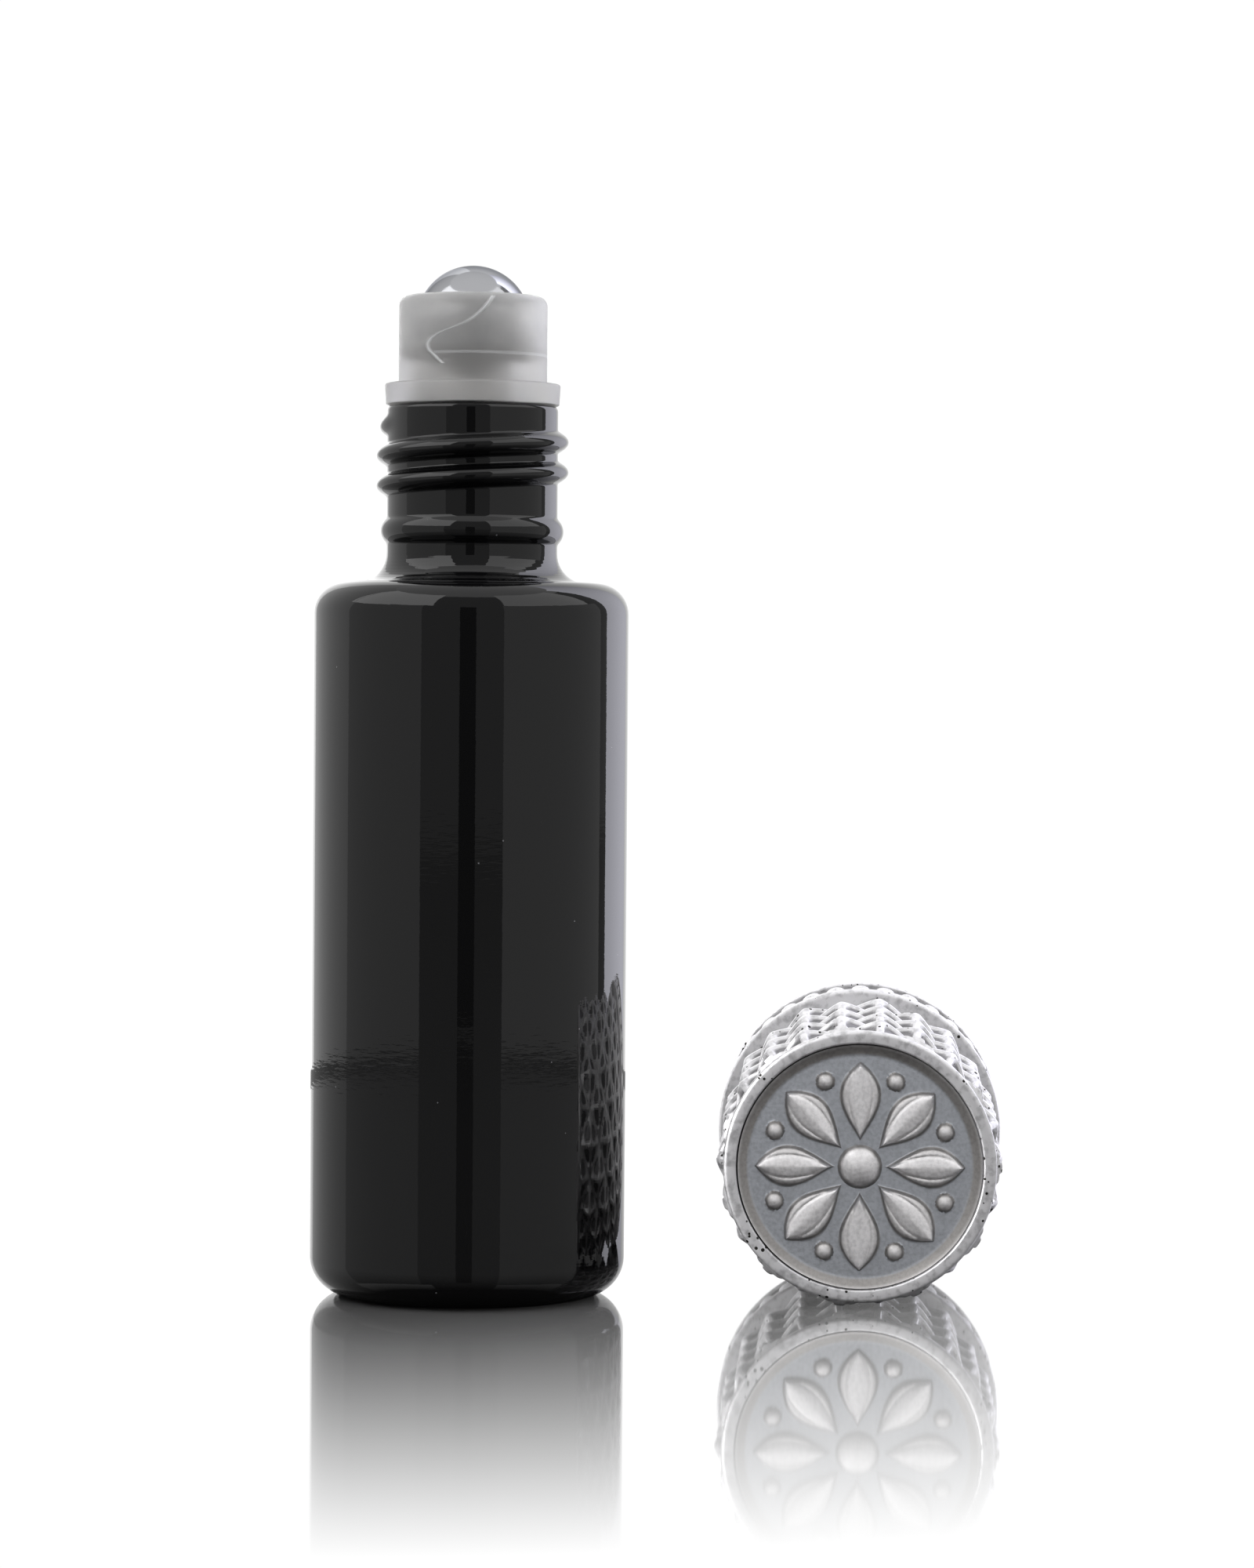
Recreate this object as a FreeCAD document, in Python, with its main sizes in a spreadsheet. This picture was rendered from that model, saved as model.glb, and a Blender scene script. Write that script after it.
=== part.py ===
import FreeCAD, Part
import math
import os
import re

import Sketcher

# Roll-on bottle: a glass bottle with a ball fitment, and its screw cap lying beside it.
# The bottle stands on its base at the origin, +Z up. The cap is drawn standing on its mouth,
# then laid down on the same surface with its closed end to the front (-Y).

# Driving sizes: lengths in millimetres, angles in degrees, and counts.
SIZES = {
    # Glass bottle
    "body_radius": 11.0,
    "shoulder_height": 49.65,
    "shoulder_radius": 2.2,
    "heel_radius": 2.6,
    "bearing_width": 0.8,
    "push_up_height": 1.0,
    "glass_wall": 2.0,
    "glass_base": 3.0,
    "neck_radius": 5.975,
    "neck_height": 12.35,
    "neck_wall": 1.5,
    "flare_radius": 2.05,
    "lip_edge_radius": 0.45,
    "bead_place": 3.55,
    "bead_rise": 0.43,
    "bead_section_radius": 1.1,
    "thread_rise": 0.75,
    # Ball and its housing
    "ball_radius": 4.0,
    "ball_clearance": 0.15,
    "ball_exposed_height": 2.15,
    "socket_wall": 1.02,
    "barrel_height": 6.1,
    "barrel_edge_radius": 0.7,
    "flange_thickness": 1.45,
    "flange_overhang": 0.155,
    "flange_taper": 0.09,
    "plug_length": 6.0,
    "plug_wall": 1.0,
    "plug_clearance": 0.05,
    "seal_bead_rise": 0.2,
    "seal_bead_section_radius": 0.4,
    "seal_bead_place": 1.4,
    "seal_bead_spacing": 1.9,
    "plug_edge_radius": 0.4,
    "seat_radius": 3.0,
    # Cap lining and seal
    "thread_clearance": 0.2,
    "insert_wall": 0.65,
    "insert_top": 0.9,
    "insert_setback": 0.6,
    "pad_thickness": 1.0,
    "pad_clearance": 0.1,
    "mouth_gap": 0.55,
    # Cap casting
    "glue_gap": 0.05,
    "shell_wall": 1.225,
    "shell_top": 3.35,
    "skirt_length": 6.5,
    "skirt_step": 1.4,
    "skirt_edge_radius": 0.35,
    "panel_margin": 0.95,
    "panel_depth": 0.3,
    "groove_length": 0.8,
    "rim_length": 0.5,
    "rim_step": 0.5,
    "rim_edge_radius": 0.3,
    "rim_width": 0.9,
    "recess_depth": 1.2,
    "stud_columns": 22,
    "stud_pitch": 5.45,
    "stud_height": 1.15,
    "stud_root_depth": 0.2,
    "stud_bond": 0.05,
    "stud_end_bevel": 1.5,
    # Medallion in the cap's end
    "medallion_gap": 0.1,
    "medallion_thickness": 0.7,
    "boss_radius": 1.45,
    "boss_height": 0.75,
    "boss_edge_radius": 0.45,
    "border_width": 0.75,
    "border_height": 0.35,
    "petal_count": 8,
    "petal_inner": 1.95,
    "petal_length": 5.1,
    "petal_bow": 1.4,
    "petal_height": 0.4,
    "petal_draft": 35.0,
    # Where the cap lies
    "cap_spacing": 7.15,
    "mouth_setback": 19.8,
    "cap_yaw": 2.75,
    # One overrun for cuts that leave through a face
    "overrun": 1.0,
}

# Sizes worked out from the driving ones.
DERIVED = {
    "bearing_outer_radius": "body_radius - heel_radius",
    "bearing_inner_radius": "bearing_outer_radius - bearing_width",
    "cavity_radius": "body_radius - glass_wall",
    "cavity_shoulder_height": "shoulder_height - glass_wall - shoulder_radius",
    "cavity_neck_height": "shoulder_height - glass_wall",
    "neck_bore_radius": "neck_radius - neck_wall",
    "lip_height": "shoulder_height + neck_height",
    "bore_exit_height": "lip_height + overrun",
    "bead_height": "shoulder_height + bead_place",
    "bead_ring_radius": "neck_radius + bead_rise - bead_section_radius",
    "flange_radius": "neck_radius + flange_overhang",
    "flange_under_radius": "flange_radius - flange_taper",
    "flange_height": "lip_height + flange_thickness",
    "socket_radius": "ball_radius + ball_clearance",
    "barrel_radius": "socket_radius + socket_wall",
    "barrel_top_height": "flange_height + barrel_height",
    "ball_top_height": "barrel_top_height + ball_exposed_height",
    "ball_height": "ball_top_height - ball_radius",
    "plug_radius": "neck_bore_radius - plug_clearance - seal_bead_rise",
    "seal_bead_ring_radius": "plug_radius + seal_bead_rise - seal_bead_section_radius",
    "upper_bead_height": "lip_height - seal_bead_place",
    "lower_bead_height": "upper_bead_height - seal_bead_spacing",
    "plug_bore_radius": "plug_radius - plug_wall",
    "plug_end_height": "lip_height - plug_length",
    "insert_bore_radius": "neck_radius + thread_rise + thread_clearance",
    "insert_radius": "insert_bore_radius + insert_wall",
    "pad_radius": "insert_bore_radius - pad_clearance",
    "pad_face": "ball_top_height - shoulder_height - mouth_gap",
    "insert_ceiling": "pad_face + pad_thickness",
    "insert_end": "insert_ceiling + insert_top",
    "shell_bore_radius": "insert_radius + glue_gap",
    "shell_bore_end": "insert_end + glue_gap",
    "recess_floor": "shell_bore_end + shell_top",
    "cap_length": "recess_floor + recess_depth",
    "valley_radius": "shell_bore_radius + shell_wall",
    "tip_radius": "valley_radius + stud_height",
    "root_radius": "valley_radius - stud_root_depth",
    "lattice_bore_radius": "root_radius - stud_bond",
    "skirt_radius": "valley_radius + skirt_step",
    "panel_radius": "skirt_radius - panel_depth",
    "panel_end": "skirt_length - panel_margin",
    "rim_radius": "valley_radius + rim_step",
    "recess_radius": "rim_radius - rim_width",
    "band_start": "skirt_length + groove_length",
    "band_end": "cap_length - rim_length",
    "band_length": "band_end - band_start",
    "bevel_start": "band_end - stud_end_bevel",
    "stud_contact": "band_end - stud_pitch / 2",
    "limit_radius": "tip_radius + overrun",
    "medallion_radius": "recess_radius - medallion_gap",
    "medallion_ground": "recess_floor + medallion_thickness",
    "border_inner_radius": "medallion_radius - border_width",
    "border_top": "medallion_ground + border_height",
    "boss_top": "medallion_ground + boss_height",
    "petal_outer": "petal_inner + petal_length",
    "cap_place": "body_radius + cap_spacing + skirt_radius",
}

AXIS = None
FLOOR = None
MATCH_TOLERANCE = 1e-5
FULL_TURN = 360

doc = FreeCAD.newDocument("roll_on_bottle")


def add_sheet(name, cells):
    """A sheet with one named cell per size."""
    sheet = doc.addObject("Spreadsheet::Sheet", name)
    for row, (alias, content) in enumerate(cells.items(), start=1):
        sheet.set(f"A{row}", alias)
        sheet.set(f"B{row}", content)
        sheet.setAlias(f"B{row}", alias)
    doc.recompute()
    return sheet


def cell(alias):
    """The expression that reads one size from the sheet that holds it."""
    return f"sizes.{alias}" if alias in SIZES else f"derived.{alias}"


def size(alias):
    """The present value of one size."""
    sheet = sizes if alias in SIZES else derived
    return float(sheet.get(alias))


sizes = add_sheet("sizes", {alias: str(number) for alias, number in SIZES.items()})
derived = add_sheet(
    "derived",
    {
        alias: "=" + re.sub(r"[a-z_]+", lambda word: cell(word.group()), formula)
        for alias, formula in DERIVED.items()
    },
)


def origin_plane(body, role):
    """One of the body's own origin planes."""
    return next(item for item in body.Origin.OriginFeatures if item.Role == role)


def attach(feature, body, role):
    """Lay a sketch or primitive on one of the body's own origin planes."""
    feature.AttachmentSupport = (origin_plane(body, role), "")
    feature.MapMode = "FlatFace"


def lathe_outline(body, name, corners):
    """A closed outline in the XZ plane whose corners are (radius, height) sizes."""
    sketch = body.newObject("Sketcher::SketchObject", name)
    attach(sketch, body, "XZ_Plane")
    count = len(corners)
    turns = [math.tau * index / count for index in range(count)]
    start = [FreeCAD.Vector(1 + math.cos(turn), 1 + math.sin(turn), 0) for turn in turns]
    for index in range(count):
        sketch.addGeometry(Part.LineSegment(start[index], start[(index + 1) % count]))
    for index in range(count):
        sketch.addConstraint(Sketcher.Constraint("Coincident", index, 2, (index + 1) % count, 1))
    for index, (radius, height) in enumerate(corners):
        place_corner(sketch, index, "DistanceX", radius, -2)
        place_corner(sketch, index, "DistanceY", height, -1)
    return sketch


def place_corner(sketch, index, direction, alias, zero_axis):
    """Tie one corner to a size along one direction, or to the axis where that is zero."""
    if alias is None:
        sketch.addConstraint(Sketcher.Constraint("PointOnObject", index, 1, zero_axis))
        return
    distance = Sketcher.Constraint(direction, -1, 1, index, 1, size(alias))
    row = sketch.addConstraint(distance)
    sketch.setExpression(f"Constraints[{row}]", cell(alias))


def turn_profile(body, name, corners, kind="PartDesign::Revolution"):
    """Turn an outline about the Z axis, as a solid or as a cut."""
    outline = lathe_outline(body, name + "_outline", corners)
    turned = body.newObject(kind, name)
    turned.Profile = outline
    turned.ReferenceAxis = (outline, ["V_Axis"])
    turned.Angle = FULL_TURN
    doc.recompute()
    return turned


def turn_out(body, name, corners):
    """Cut a turned hollow and make sure that it took material away."""
    before = body.Shape.Volume
    turn_profile(body, name, corners, "PartDesign::Groove")
    if body.Shape.Volume >= before:
        raise RuntimeError(f"{name} cut nothing")


def round_rings(body, name, rings, radius):
    """Round the circular edges that lie at the given (radius, height) sizes."""
    base = body.Tip
    wanted = [(size(ring), 0 if height is FLOOR else size(height)) for ring, height in rings]
    edges = []
    for number, edge in enumerate(base.Shape.Edges, start=1):
        if not isinstance(edge.Curve, Part.Circle):
            continue
        found = (edge.Curve.Radius, edge.Curve.Center.z)
        if any(math.dist(found, ring) < MATCH_TOLERANCE for ring in wanted):
            edges.append(f"Edge{number}")
    fillet = body.newObject("PartDesign::Fillet", name)
    fillet.Base = (base, edges)
    fillet.setExpression("Radius", cell(radius))
    doc.recompute()
    return fillet


def add_primitive(body, kind, name, measures, height):
    """A sphere or ring on the Z axis, added to the body or taken from it."""
    primitive = body.newObject("PartDesign::" + kind, name)
    attach(primitive, body, "XY_Plane")
    for measure, alias in measures.items():
        primitive.setExpression(measure, cell(alias))
    primitive.setExpression("AttachmentOffset.Base.z", cell(height))
    doc.recompute()
    return primitive


def make_glass_bottle():
    """Blown glass: rounded heel and shoulder, neck with a transfer bead, hollow inside."""
    body = doc.addObject("PartDesign::Body", "glass_bottle")
    turn_profile(
        body,
        "glass_form",
        [
            (AXIS, "push_up_height"),
            ("bearing_inner_radius", FLOOR),
            ("body_radius", FLOOR),
            ("body_radius", "shoulder_height"),
            ("neck_radius", "shoulder_height"),
            ("neck_radius", "lip_height"),
            (AXIS, "lip_height"),
        ],
    )
    round_rings(body, "heel", [("body_radius", FLOOR)], "heel_radius")
    round_rings(body, "shoulder", [("body_radius", "shoulder_height")], "shoulder_radius")
    round_rings(body, "neck_flare", [("neck_radius", "shoulder_height")], "flare_radius")
    round_rings(body, "lip_edge", [("neck_radius", "lip_height")], "lip_edge_radius")
    ring = {"Radius1": "bead_ring_radius", "Radius2": "bead_section_radius"}
    add_primitive(body, "AdditiveTorus", "transfer_bead", ring, "bead_height")
    turn_out(
        body,
        "glass_cavity",
        [
            (AXIS, "glass_base"),
            ("cavity_radius", "glass_base"),
            ("cavity_radius", "cavity_shoulder_height"),
            ("neck_bore_radius", "cavity_neck_height"),
            ("neck_bore_radius", "bore_exit_height"),
            (AXIS, "bore_exit_height"),
        ],
    )
    return body


def make_roller_housing():
    """Moulded fitment: a beaded plug in the neck, a flange on the lip and a socket round the ball."""
    body = doc.addObject("PartDesign::Body", "roller_housing")
    turn_profile(
        body,
        "housing_form",
        [
            ("plug_bore_radius", "plug_end_height"),
            ("plug_radius", "plug_end_height"),
            ("plug_radius", "lip_height"),
            ("flange_under_radius", "lip_height"),
            ("flange_radius", "flange_height"),
            ("barrel_radius", "flange_height"),
            ("barrel_radius", "barrel_top_height"),
            ("seat_radius", "barrel_top_height"),
            ("seat_radius", "lip_height"),
            ("plug_bore_radius", "lip_height"),
        ],
    )
    round_rings(body, "plug_edge", [("plug_radius", "plug_end_height")], "plug_edge_radius")
    barrel_edge = [("barrel_radius", "barrel_top_height")]
    round_rings(body, "barrel_edge", barrel_edge, "barrel_edge_radius")
    bead = {"Radius1": "seal_bead_ring_radius", "Radius2": "seal_bead_section_radius"}
    add_primitive(body, "AdditiveTorus", "upper_seal_bead", bead, "upper_bead_height")
    add_primitive(body, "AdditiveTorus", "lower_seal_bead", bead, "lower_bead_height")
    solid_volume = body.Shape.Volume
    add_primitive(body, "SubtractiveSphere", "socket", {"Radius": "socket_radius"}, "ball_height")
    if body.Shape.Volume >= solid_volume:
        raise RuntimeError("the socket cut nothing")
    return body


def make_roller_ball():
    """The steel ball, free to roll in its socket."""
    ball = doc.addObject("Part::Sphere", "roller_ball")
    ball.setExpression("Radius", cell("ball_radius"))
    ball.setExpression("Placement.Base.z", cell("ball_height"))
    return ball


def make_stud_lattice():
    """Diamond-point studs in staggered columns: rings of tips and valley corners, half a pitch apart.

    Each stud is a four-sided point whose ridges run along and round the cap. The ring at the
    rim end goes through the tips of every second column, where a bevel takes them down to the rim.
    """
    columns = int(size("stud_columns"))
    step = size("stud_pitch") / 2
    layers = math.ceil(size("band_length") / step)
    column_angle = math.tau / columns
    first_angle = math.pi / 2 + column_angle / 2

    def point(layer, column, radius):
        angle = first_angle + column_angle * column
        height = size("band_end") - step * layer
        return FreeCAD.Vector(radius * math.cos(angle), radius * math.sin(angle), height)

    def surface_point(layer, column):
        is_tip = (layer + column) % 2 == 0
        return point(layer, column, size("tip_radius" if is_tip else "valley_radius"))

    def inner_point(layer, column):
        return point(layer, column, size("lattice_bore_radius"))

    def flat_face(*corners):
        return Part.Face(Part.makePolygon([*corners, corners[0]]))

    def ring_wire(layer, corner):
        ring = [corner(layer, column) for column in range(columns)]
        return Part.makePolygon([*ring, ring[0]])

    faces = []
    for column in range(columns):
        for layer in range(layers):
            near = surface_point(layer, column)
            near_next = surface_point(layer, column + 1)
            far = surface_point(layer + 1, column)
            far_next = surface_point(layer + 1, column + 1)
            if (layer + column) % 2 == 0:
                faces += [flat_face(near, near_next, far), flat_face(far_next, far, near_next)]
            else:
                faces += [flat_face(near_next, far_next, near), flat_face(far, near, far_next)]
        faces.append(
            flat_face(
                inner_point(0, column),
                inner_point(0, column + 1),
                inner_point(layers, column + 1),
                inner_point(layers, column),
            )
        )
    for layer in (0, layers):
        wires = [ring_wire(layer, surface_point), ring_wire(layer, inner_point)]
        faces.append(Part.makeFace(wires, "Part::FaceMakerBullseye"))
    skin = Part.Shell(faces)
    skin.sewShape()
    solid = Part.Solid(skin)
    if solid.Volume < 0:
        solid.reverse()
    lattice = doc.addObject("Part::Feature", "stud_lattice")
    lattice.Shape = solid
    return lattice


def make_cap_shell():
    """Cast cap: a turned core with panelled skirt, groove, rim and recess, and the band of studs."""
    core = doc.addObject("PartDesign::Body", "cap_core")
    turn_profile(
        core,
        "cap_form",
        [
            ("shell_bore_radius", FLOOR),
            ("skirt_radius", FLOOR),
            ("skirt_radius", "panel_margin"),
            ("panel_radius", "panel_margin"),
            ("panel_radius", "panel_end"),
            ("skirt_radius", "panel_end"),
            ("skirt_radius", "skirt_length"),
            ("valley_radius", "skirt_length"),
            ("valley_radius", "band_start"),
            ("root_radius", "band_start"),
            ("root_radius", "band_end"),
            ("rim_radius", "band_end"),
            ("rim_radius", "cap_length"),
            ("recess_radius", "cap_length"),
            ("recess_radius", "recess_floor"),
            (AXIS, "recess_floor"),
            (AXIS, "shell_bore_end"),
            ("shell_bore_radius", "shell_bore_end"),
        ],
    )
    skirt_edges = [("skirt_radius", FLOOR), ("skirt_radius", "skirt_length")]
    round_rings(core, "skirt_edges", skirt_edges, "skirt_edge_radius")
    round_rings(core, "rim_edge", [("rim_radius", "cap_length")], "rim_edge_radius")
    limit = doc.addObject("PartDesign::Body", "stud_band_limit")
    turn_profile(
        limit,
        "limit_form",
        [
            (AXIS, "band_start"),
            ("limit_radius", "band_start"),
            ("limit_radius", "bevel_start"),
            ("rim_radius", "band_end"),
            (AXIS, "band_end"),
        ],
    )
    band = doc.addObject("Part::Common", "stud_band")
    band.Base = make_stud_lattice()
    band.Tool = limit
    shell = doc.addObject("Part::Fuse", "cap_shell")
    shell.Base = core
    shell.Tool = band
    return shell


def make_cap_medallion():
    """Relief disc in the end recess: a ground with a sloping border, a boss and a ring of petals."""
    body = doc.addObject("PartDesign::Body", "cap_medallion")
    turn_profile(
        body,
        "medallion_form",
        [
            (AXIS, "recess_floor"),
            ("medallion_radius", "recess_floor"),
            ("medallion_radius", "border_top"),
            ("border_inner_radius", "medallion_ground"),
            ("boss_radius", "medallion_ground"),
            ("boss_radius", "boss_top"),
            (AXIS, "boss_top"),
        ],
    )
    round_rings(body, "boss_crown", [("boss_radius", "boss_top")], "boss_edge_radius")
    add_petals(body)
    return body


def add_petals(body):
    """Lens-shaped petals with sloping sides, repeated round the boss."""
    outline = body.newObject("Sketcher::SketchObject", "petal_outline")
    attach(outline, body, "XY_Plane")
    outline.setExpression("AttachmentOffset.Base.z", cell("medallion_ground"))
    inner = FreeCAD.Vector(size("petal_inner"), 0, 0)
    outer = FreeCAD.Vector(size("petal_outer"), 0, 0)
    middle = (inner + outer) / 2
    for side in (1, -1):
        bow = middle + FreeCAD.Vector(0, side * size("petal_bow"), 0)
        outline.addGeometry(Part.Arc(outer, bow, inner) if side > 0 else Part.Arc(inner, bow, outer))
    outline.addConstraint(Sketcher.Constraint("Coincident", 0, 2, 1, 1))
    outline.addConstraint(Sketcher.Constraint("Coincident", 1, 2, 0, 1))
    place_corner(outline, 1, "DistanceX", "petal_inner", -2)
    place_corner(outline, 0, "DistanceX", "petal_outer", -2)
    place_corner(outline, 1, "DistanceY", FLOOR, -1)
    place_corner(outline, 0, "DistanceY", FLOOR, -1)
    outline.addConstraint(Sketcher.Constraint("Equal", 0, 1))
    half_chord = f"{cell('petal_length')} / 2"
    bow = cell("petal_bow")
    arc_radius = outline.addConstraint(Sketcher.Constraint("Radius", 0, outline.Geometry[0].Radius))
    outline.setExpression(
        f"Constraints[{arc_radius}]", f"({half_chord} * {half_chord} + {bow} * {bow}) / (2 * {bow})"
    )
    petal = body.newObject("PartDesign::Pad", "petal")
    petal.Profile = outline
    petal.setExpression("Length", cell("petal_height"))
    petal.setExpression("TaperAngle", "-" + cell("petal_draft"))
    doc.recompute()
    ring = body.newObject("PartDesign::PolarPattern", "petal_ring")
    ring.Originals = [petal]
    ring.Axis = (outline, ["N_Axis"])
    ring.Angle = FULL_TURN
    ring.setExpression("Occurrences", cell("petal_count"))
    body.Tip = ring
    doc.recompute()


def make_cap_thread_insert():
    """Moulded lining that carries the cap's thread."""
    body = doc.addObject("PartDesign::Body", "cap_thread_insert")
    turn_profile(
        body,
        "insert_form",
        [
            ("insert_bore_radius", "insert_setback"),
            ("insert_radius", "insert_setback"),
            ("insert_radius", "insert_end"),
            (AXIS, "insert_end"),
            (AXIS, "insert_ceiling"),
            ("insert_bore_radius", "insert_ceiling"),
        ],
    )
    return body


def make_cap_seal_pad():
    """Soft disc under the lining's ceiling, which meets the ball when the cap is on."""
    pad = doc.addObject("Part::Cylinder", "cap_seal_pad")
    pad.setExpression("Radius", cell("pad_radius"))
    pad.setExpression("Height", cell("pad_thickness"))
    return pad


def cap_rest_placement():
    """The cap lies on its skirt's front edge and its foremost whole studs, with its end to the front."""
    resting_radius = size("tip_radius") * math.cos(math.pi / size("stud_columns"))
    skirt_contact = size("skirt_length") - size("skirt_edge_radius")
    tilt = math.atan2(size("skirt_radius") - resting_radius, size("stud_contact") - skirt_contact)
    lay_down = FreeCAD.Rotation(FreeCAD.Vector(1, 0, 0), FULL_TURN / 4 + math.degrees(tilt))
    swing = FreeCAD.Rotation(FreeCAD.Vector(0, 0, 1), -size("cap_yaw"))
    mouth_height = size("skirt_radius") * math.cos(tilt) + skirt_contact * math.sin(tilt)
    mouth = FreeCAD.Vector(size("cap_place"), size("mouth_setback"), mouth_height)
    return FreeCAD.Placement(mouth, swing * lay_down)


def check_and_write(nodes):
    """Stop on any failed object, then write each sub-part to its own file."""
    for item in doc.Objects:
        if {"Invalid", "Error"} & set(item.State):
            raise RuntimeError(f"{item.Label} failed: {item.State}")
    for node in nodes:
        if node.Shape.isNull() or not node.Shape.isValid():
            raise RuntimeError(f"{node.Label} has no valid shape")
        if len(node.Shape.Solids) != 1:
            raise RuntimeError(f"{node.Label} is not one solid")
    os.makedirs("parts", exist_ok=True)
    for node in nodes:
        node.Shape.exportStep(f"parts/{node.Label}.step")


bottle_nodes = [make_glass_bottle(), make_roller_housing(), make_roller_ball()]
cap_nodes = [make_cap_shell(), make_cap_medallion(), make_cap_thread_insert(), make_cap_seal_pad()]
rest = cap_rest_placement()
for cap_node in cap_nodes:
    cap_node.Placement = rest
pad_offset = FreeCAD.Placement(FreeCAD.Vector(0, 0, size("pad_face")), FreeCAD.Rotation())
cap_nodes[-1].Placement = rest * pad_offset
doc.recompute()
check_and_write(bottle_nodes + cap_nodes)
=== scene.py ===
import logging
import math
from collections.abc import Callable
from dataclasses import dataclass, field
from enum import Enum
from functools import cached_property
from itertools import pairwise

import bmesh
import bpy
from mathutils import Matrix, Vector, noise


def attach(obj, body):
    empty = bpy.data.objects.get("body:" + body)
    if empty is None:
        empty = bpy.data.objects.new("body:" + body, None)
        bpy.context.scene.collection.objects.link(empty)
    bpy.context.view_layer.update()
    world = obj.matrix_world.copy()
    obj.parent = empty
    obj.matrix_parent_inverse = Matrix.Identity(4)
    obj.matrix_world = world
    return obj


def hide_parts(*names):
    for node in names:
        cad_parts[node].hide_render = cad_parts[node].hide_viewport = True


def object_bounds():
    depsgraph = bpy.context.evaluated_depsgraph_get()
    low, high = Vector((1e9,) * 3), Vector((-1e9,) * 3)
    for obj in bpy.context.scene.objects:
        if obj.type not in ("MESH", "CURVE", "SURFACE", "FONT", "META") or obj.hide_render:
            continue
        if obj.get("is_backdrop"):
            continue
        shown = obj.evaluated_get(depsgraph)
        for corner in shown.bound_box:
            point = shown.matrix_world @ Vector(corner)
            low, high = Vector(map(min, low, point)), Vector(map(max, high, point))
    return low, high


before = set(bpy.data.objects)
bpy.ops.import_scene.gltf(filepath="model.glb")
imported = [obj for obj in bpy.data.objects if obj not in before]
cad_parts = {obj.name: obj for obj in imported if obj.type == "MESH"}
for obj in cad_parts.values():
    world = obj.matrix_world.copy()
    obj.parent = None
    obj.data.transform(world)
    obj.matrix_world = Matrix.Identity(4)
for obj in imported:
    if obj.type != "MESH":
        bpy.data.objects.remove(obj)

# The roll-on bottle and its loose cap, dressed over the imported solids. Sizes are in millimetres
# in each piece's own frame; meshes are in metres in the shared one.
CAD_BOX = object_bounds()
MM = 0.001
MERGE_DISTANCE = 1e-6  # metres
SAME_PLACE = 1e-4  # millimetres
SAME_BEARING = 1e-4  # radians
SHARP_ANGLE = math.radians(38)
SECTOR_DOUBLINGS = 3
WHITE = "#FFFFFF"
LOG = logging.getLogger("roll_on_bottle")

Colour = tuple[float, float, float, float]
Item = bpy.types.Object
Mesh = bmesh.types.BMesh
Place = tuple[float, float, float]
Points = list[tuple[float, float]]
Socket = bpy.types.NodeSocket
Sockets = dict[str | int, object]


class Body(Enum):
    """The moving bodies that pieces ride on."""

    BOTTLE = "bottle"
    ROLLER = "roller"
    CAP = "cap"


@dataclass(frozen=True)
class Corner:
    """One corner of a lathe outline, rounded where rounding is above zero."""

    radius: float
    height: float
    rounding: float = 0.0

    @property
    def place(self) -> Vector:
        """The corner as a flat vector."""
        return Vector((self.radius, self.height))


def linear(hex_colour: str) -> Colour:
    """Turn an sRGB hex colour such as "#C0C0C0" into an opaque linear one."""
    channels = [int(hex_colour[place : place + 2], 16) / 255 for place in (1, 3, 5)]
    return (*[c / 12.92 if c <= 0.04045 else ((c + 0.055) / 1.055) ** 2.4 for c in channels], 1.0)


def grey(level: float) -> Colour:
    """A neutral colour of that linear level."""
    return (level, level, level, 1.0)


def per_mm(size: float) -> float:
    """The texture scale that gives a feature of that size in millimetres."""
    return 1 / (size * MM)


def smooth_max(first: float, second: float, softness: float) -> float:
    """The larger of two numbers, rounded where they are nearly equal."""
    return (first + second + math.hypot(first - second, softness)) / 2


def from_middle(angle: float, count: int) -> float:
    """Angle from the middle of the sector that an angle falls in, of so many equal ones."""
    return ((angle * count / math.tau) % 1 - 0.5) * math.tau / count


def smooth_step(low: float, high: float, value: float) -> float:
    """Zero below low, one above high and a smooth rise between them."""
    share = min(max((value - low) / (high - low), 0.0), 1.0)
    return share * share * (3 - 2 * share)


def dome(distance: float, radius: float, height: float) -> float:
    """Height of a rounded boss or bead at a distance from its middle."""
    return height * math.sqrt(1 - (distance / radius) ** 2) if distance < radius else 0.0


def rounded_outline(corners: list[Corner], arc_steps: int = 8) -> Points:
    """Turn an open chain of corners into points, with an arc at each rounded corner.

    Args:
        corners: The chain, from one end to the other.
        arc_steps: Straight pieces in each arc.

    Returns:
        The (radius, height) points in order.
    """
    points = []
    for index, corner in enumerate(corners):
        if corner.rounding == 0:
            points.append((corner.radius, corner.height))
            continue
        back = (corners[index - 1].place - corner.place).normalized()
        ahead = (corners[(index + 1) % len(corners)].place - corner.place).normalized()
        half = back.angle(ahead) / 2
        centre = corner.place + (back + ahead).normalized() * corner.rounding / math.sin(half)
        start = corner.place + back * corner.rounding / math.tan(half) - centre
        sweep = start.angle_signed(corner.place + ahead * corner.rounding / math.tan(half) - centre)
        for step in range(arc_steps + 1):
            turned = Matrix.Rotation(-sweep * step / arc_steps, 2) @ start
            points.append(tuple(centre + turned))
    return points


def divided(points: Points, low: float, high: float, spacing: float) -> Points:
    """Add points along the runs that lie between two heights, for relief that needs them.

    Args:
        points: The outline.
        low: Height where the fine part starts.
        high: Height where it ends.
        spacing: Largest distance between its points.

    Returns:
        The finer outline.
    """
    fine = [points[0]]
    for start, end in pairwise(points):
        inside = low <= min(start[1], end[1]) and max(start[1], end[1]) <= high
        count = math.ceil(math.dist(start, end) / spacing) if inside else 1
        fine += [tuple(Vector(start).lerp(Vector(end), n / count)) for n in range(1, count + 1)]
    return fine


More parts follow.
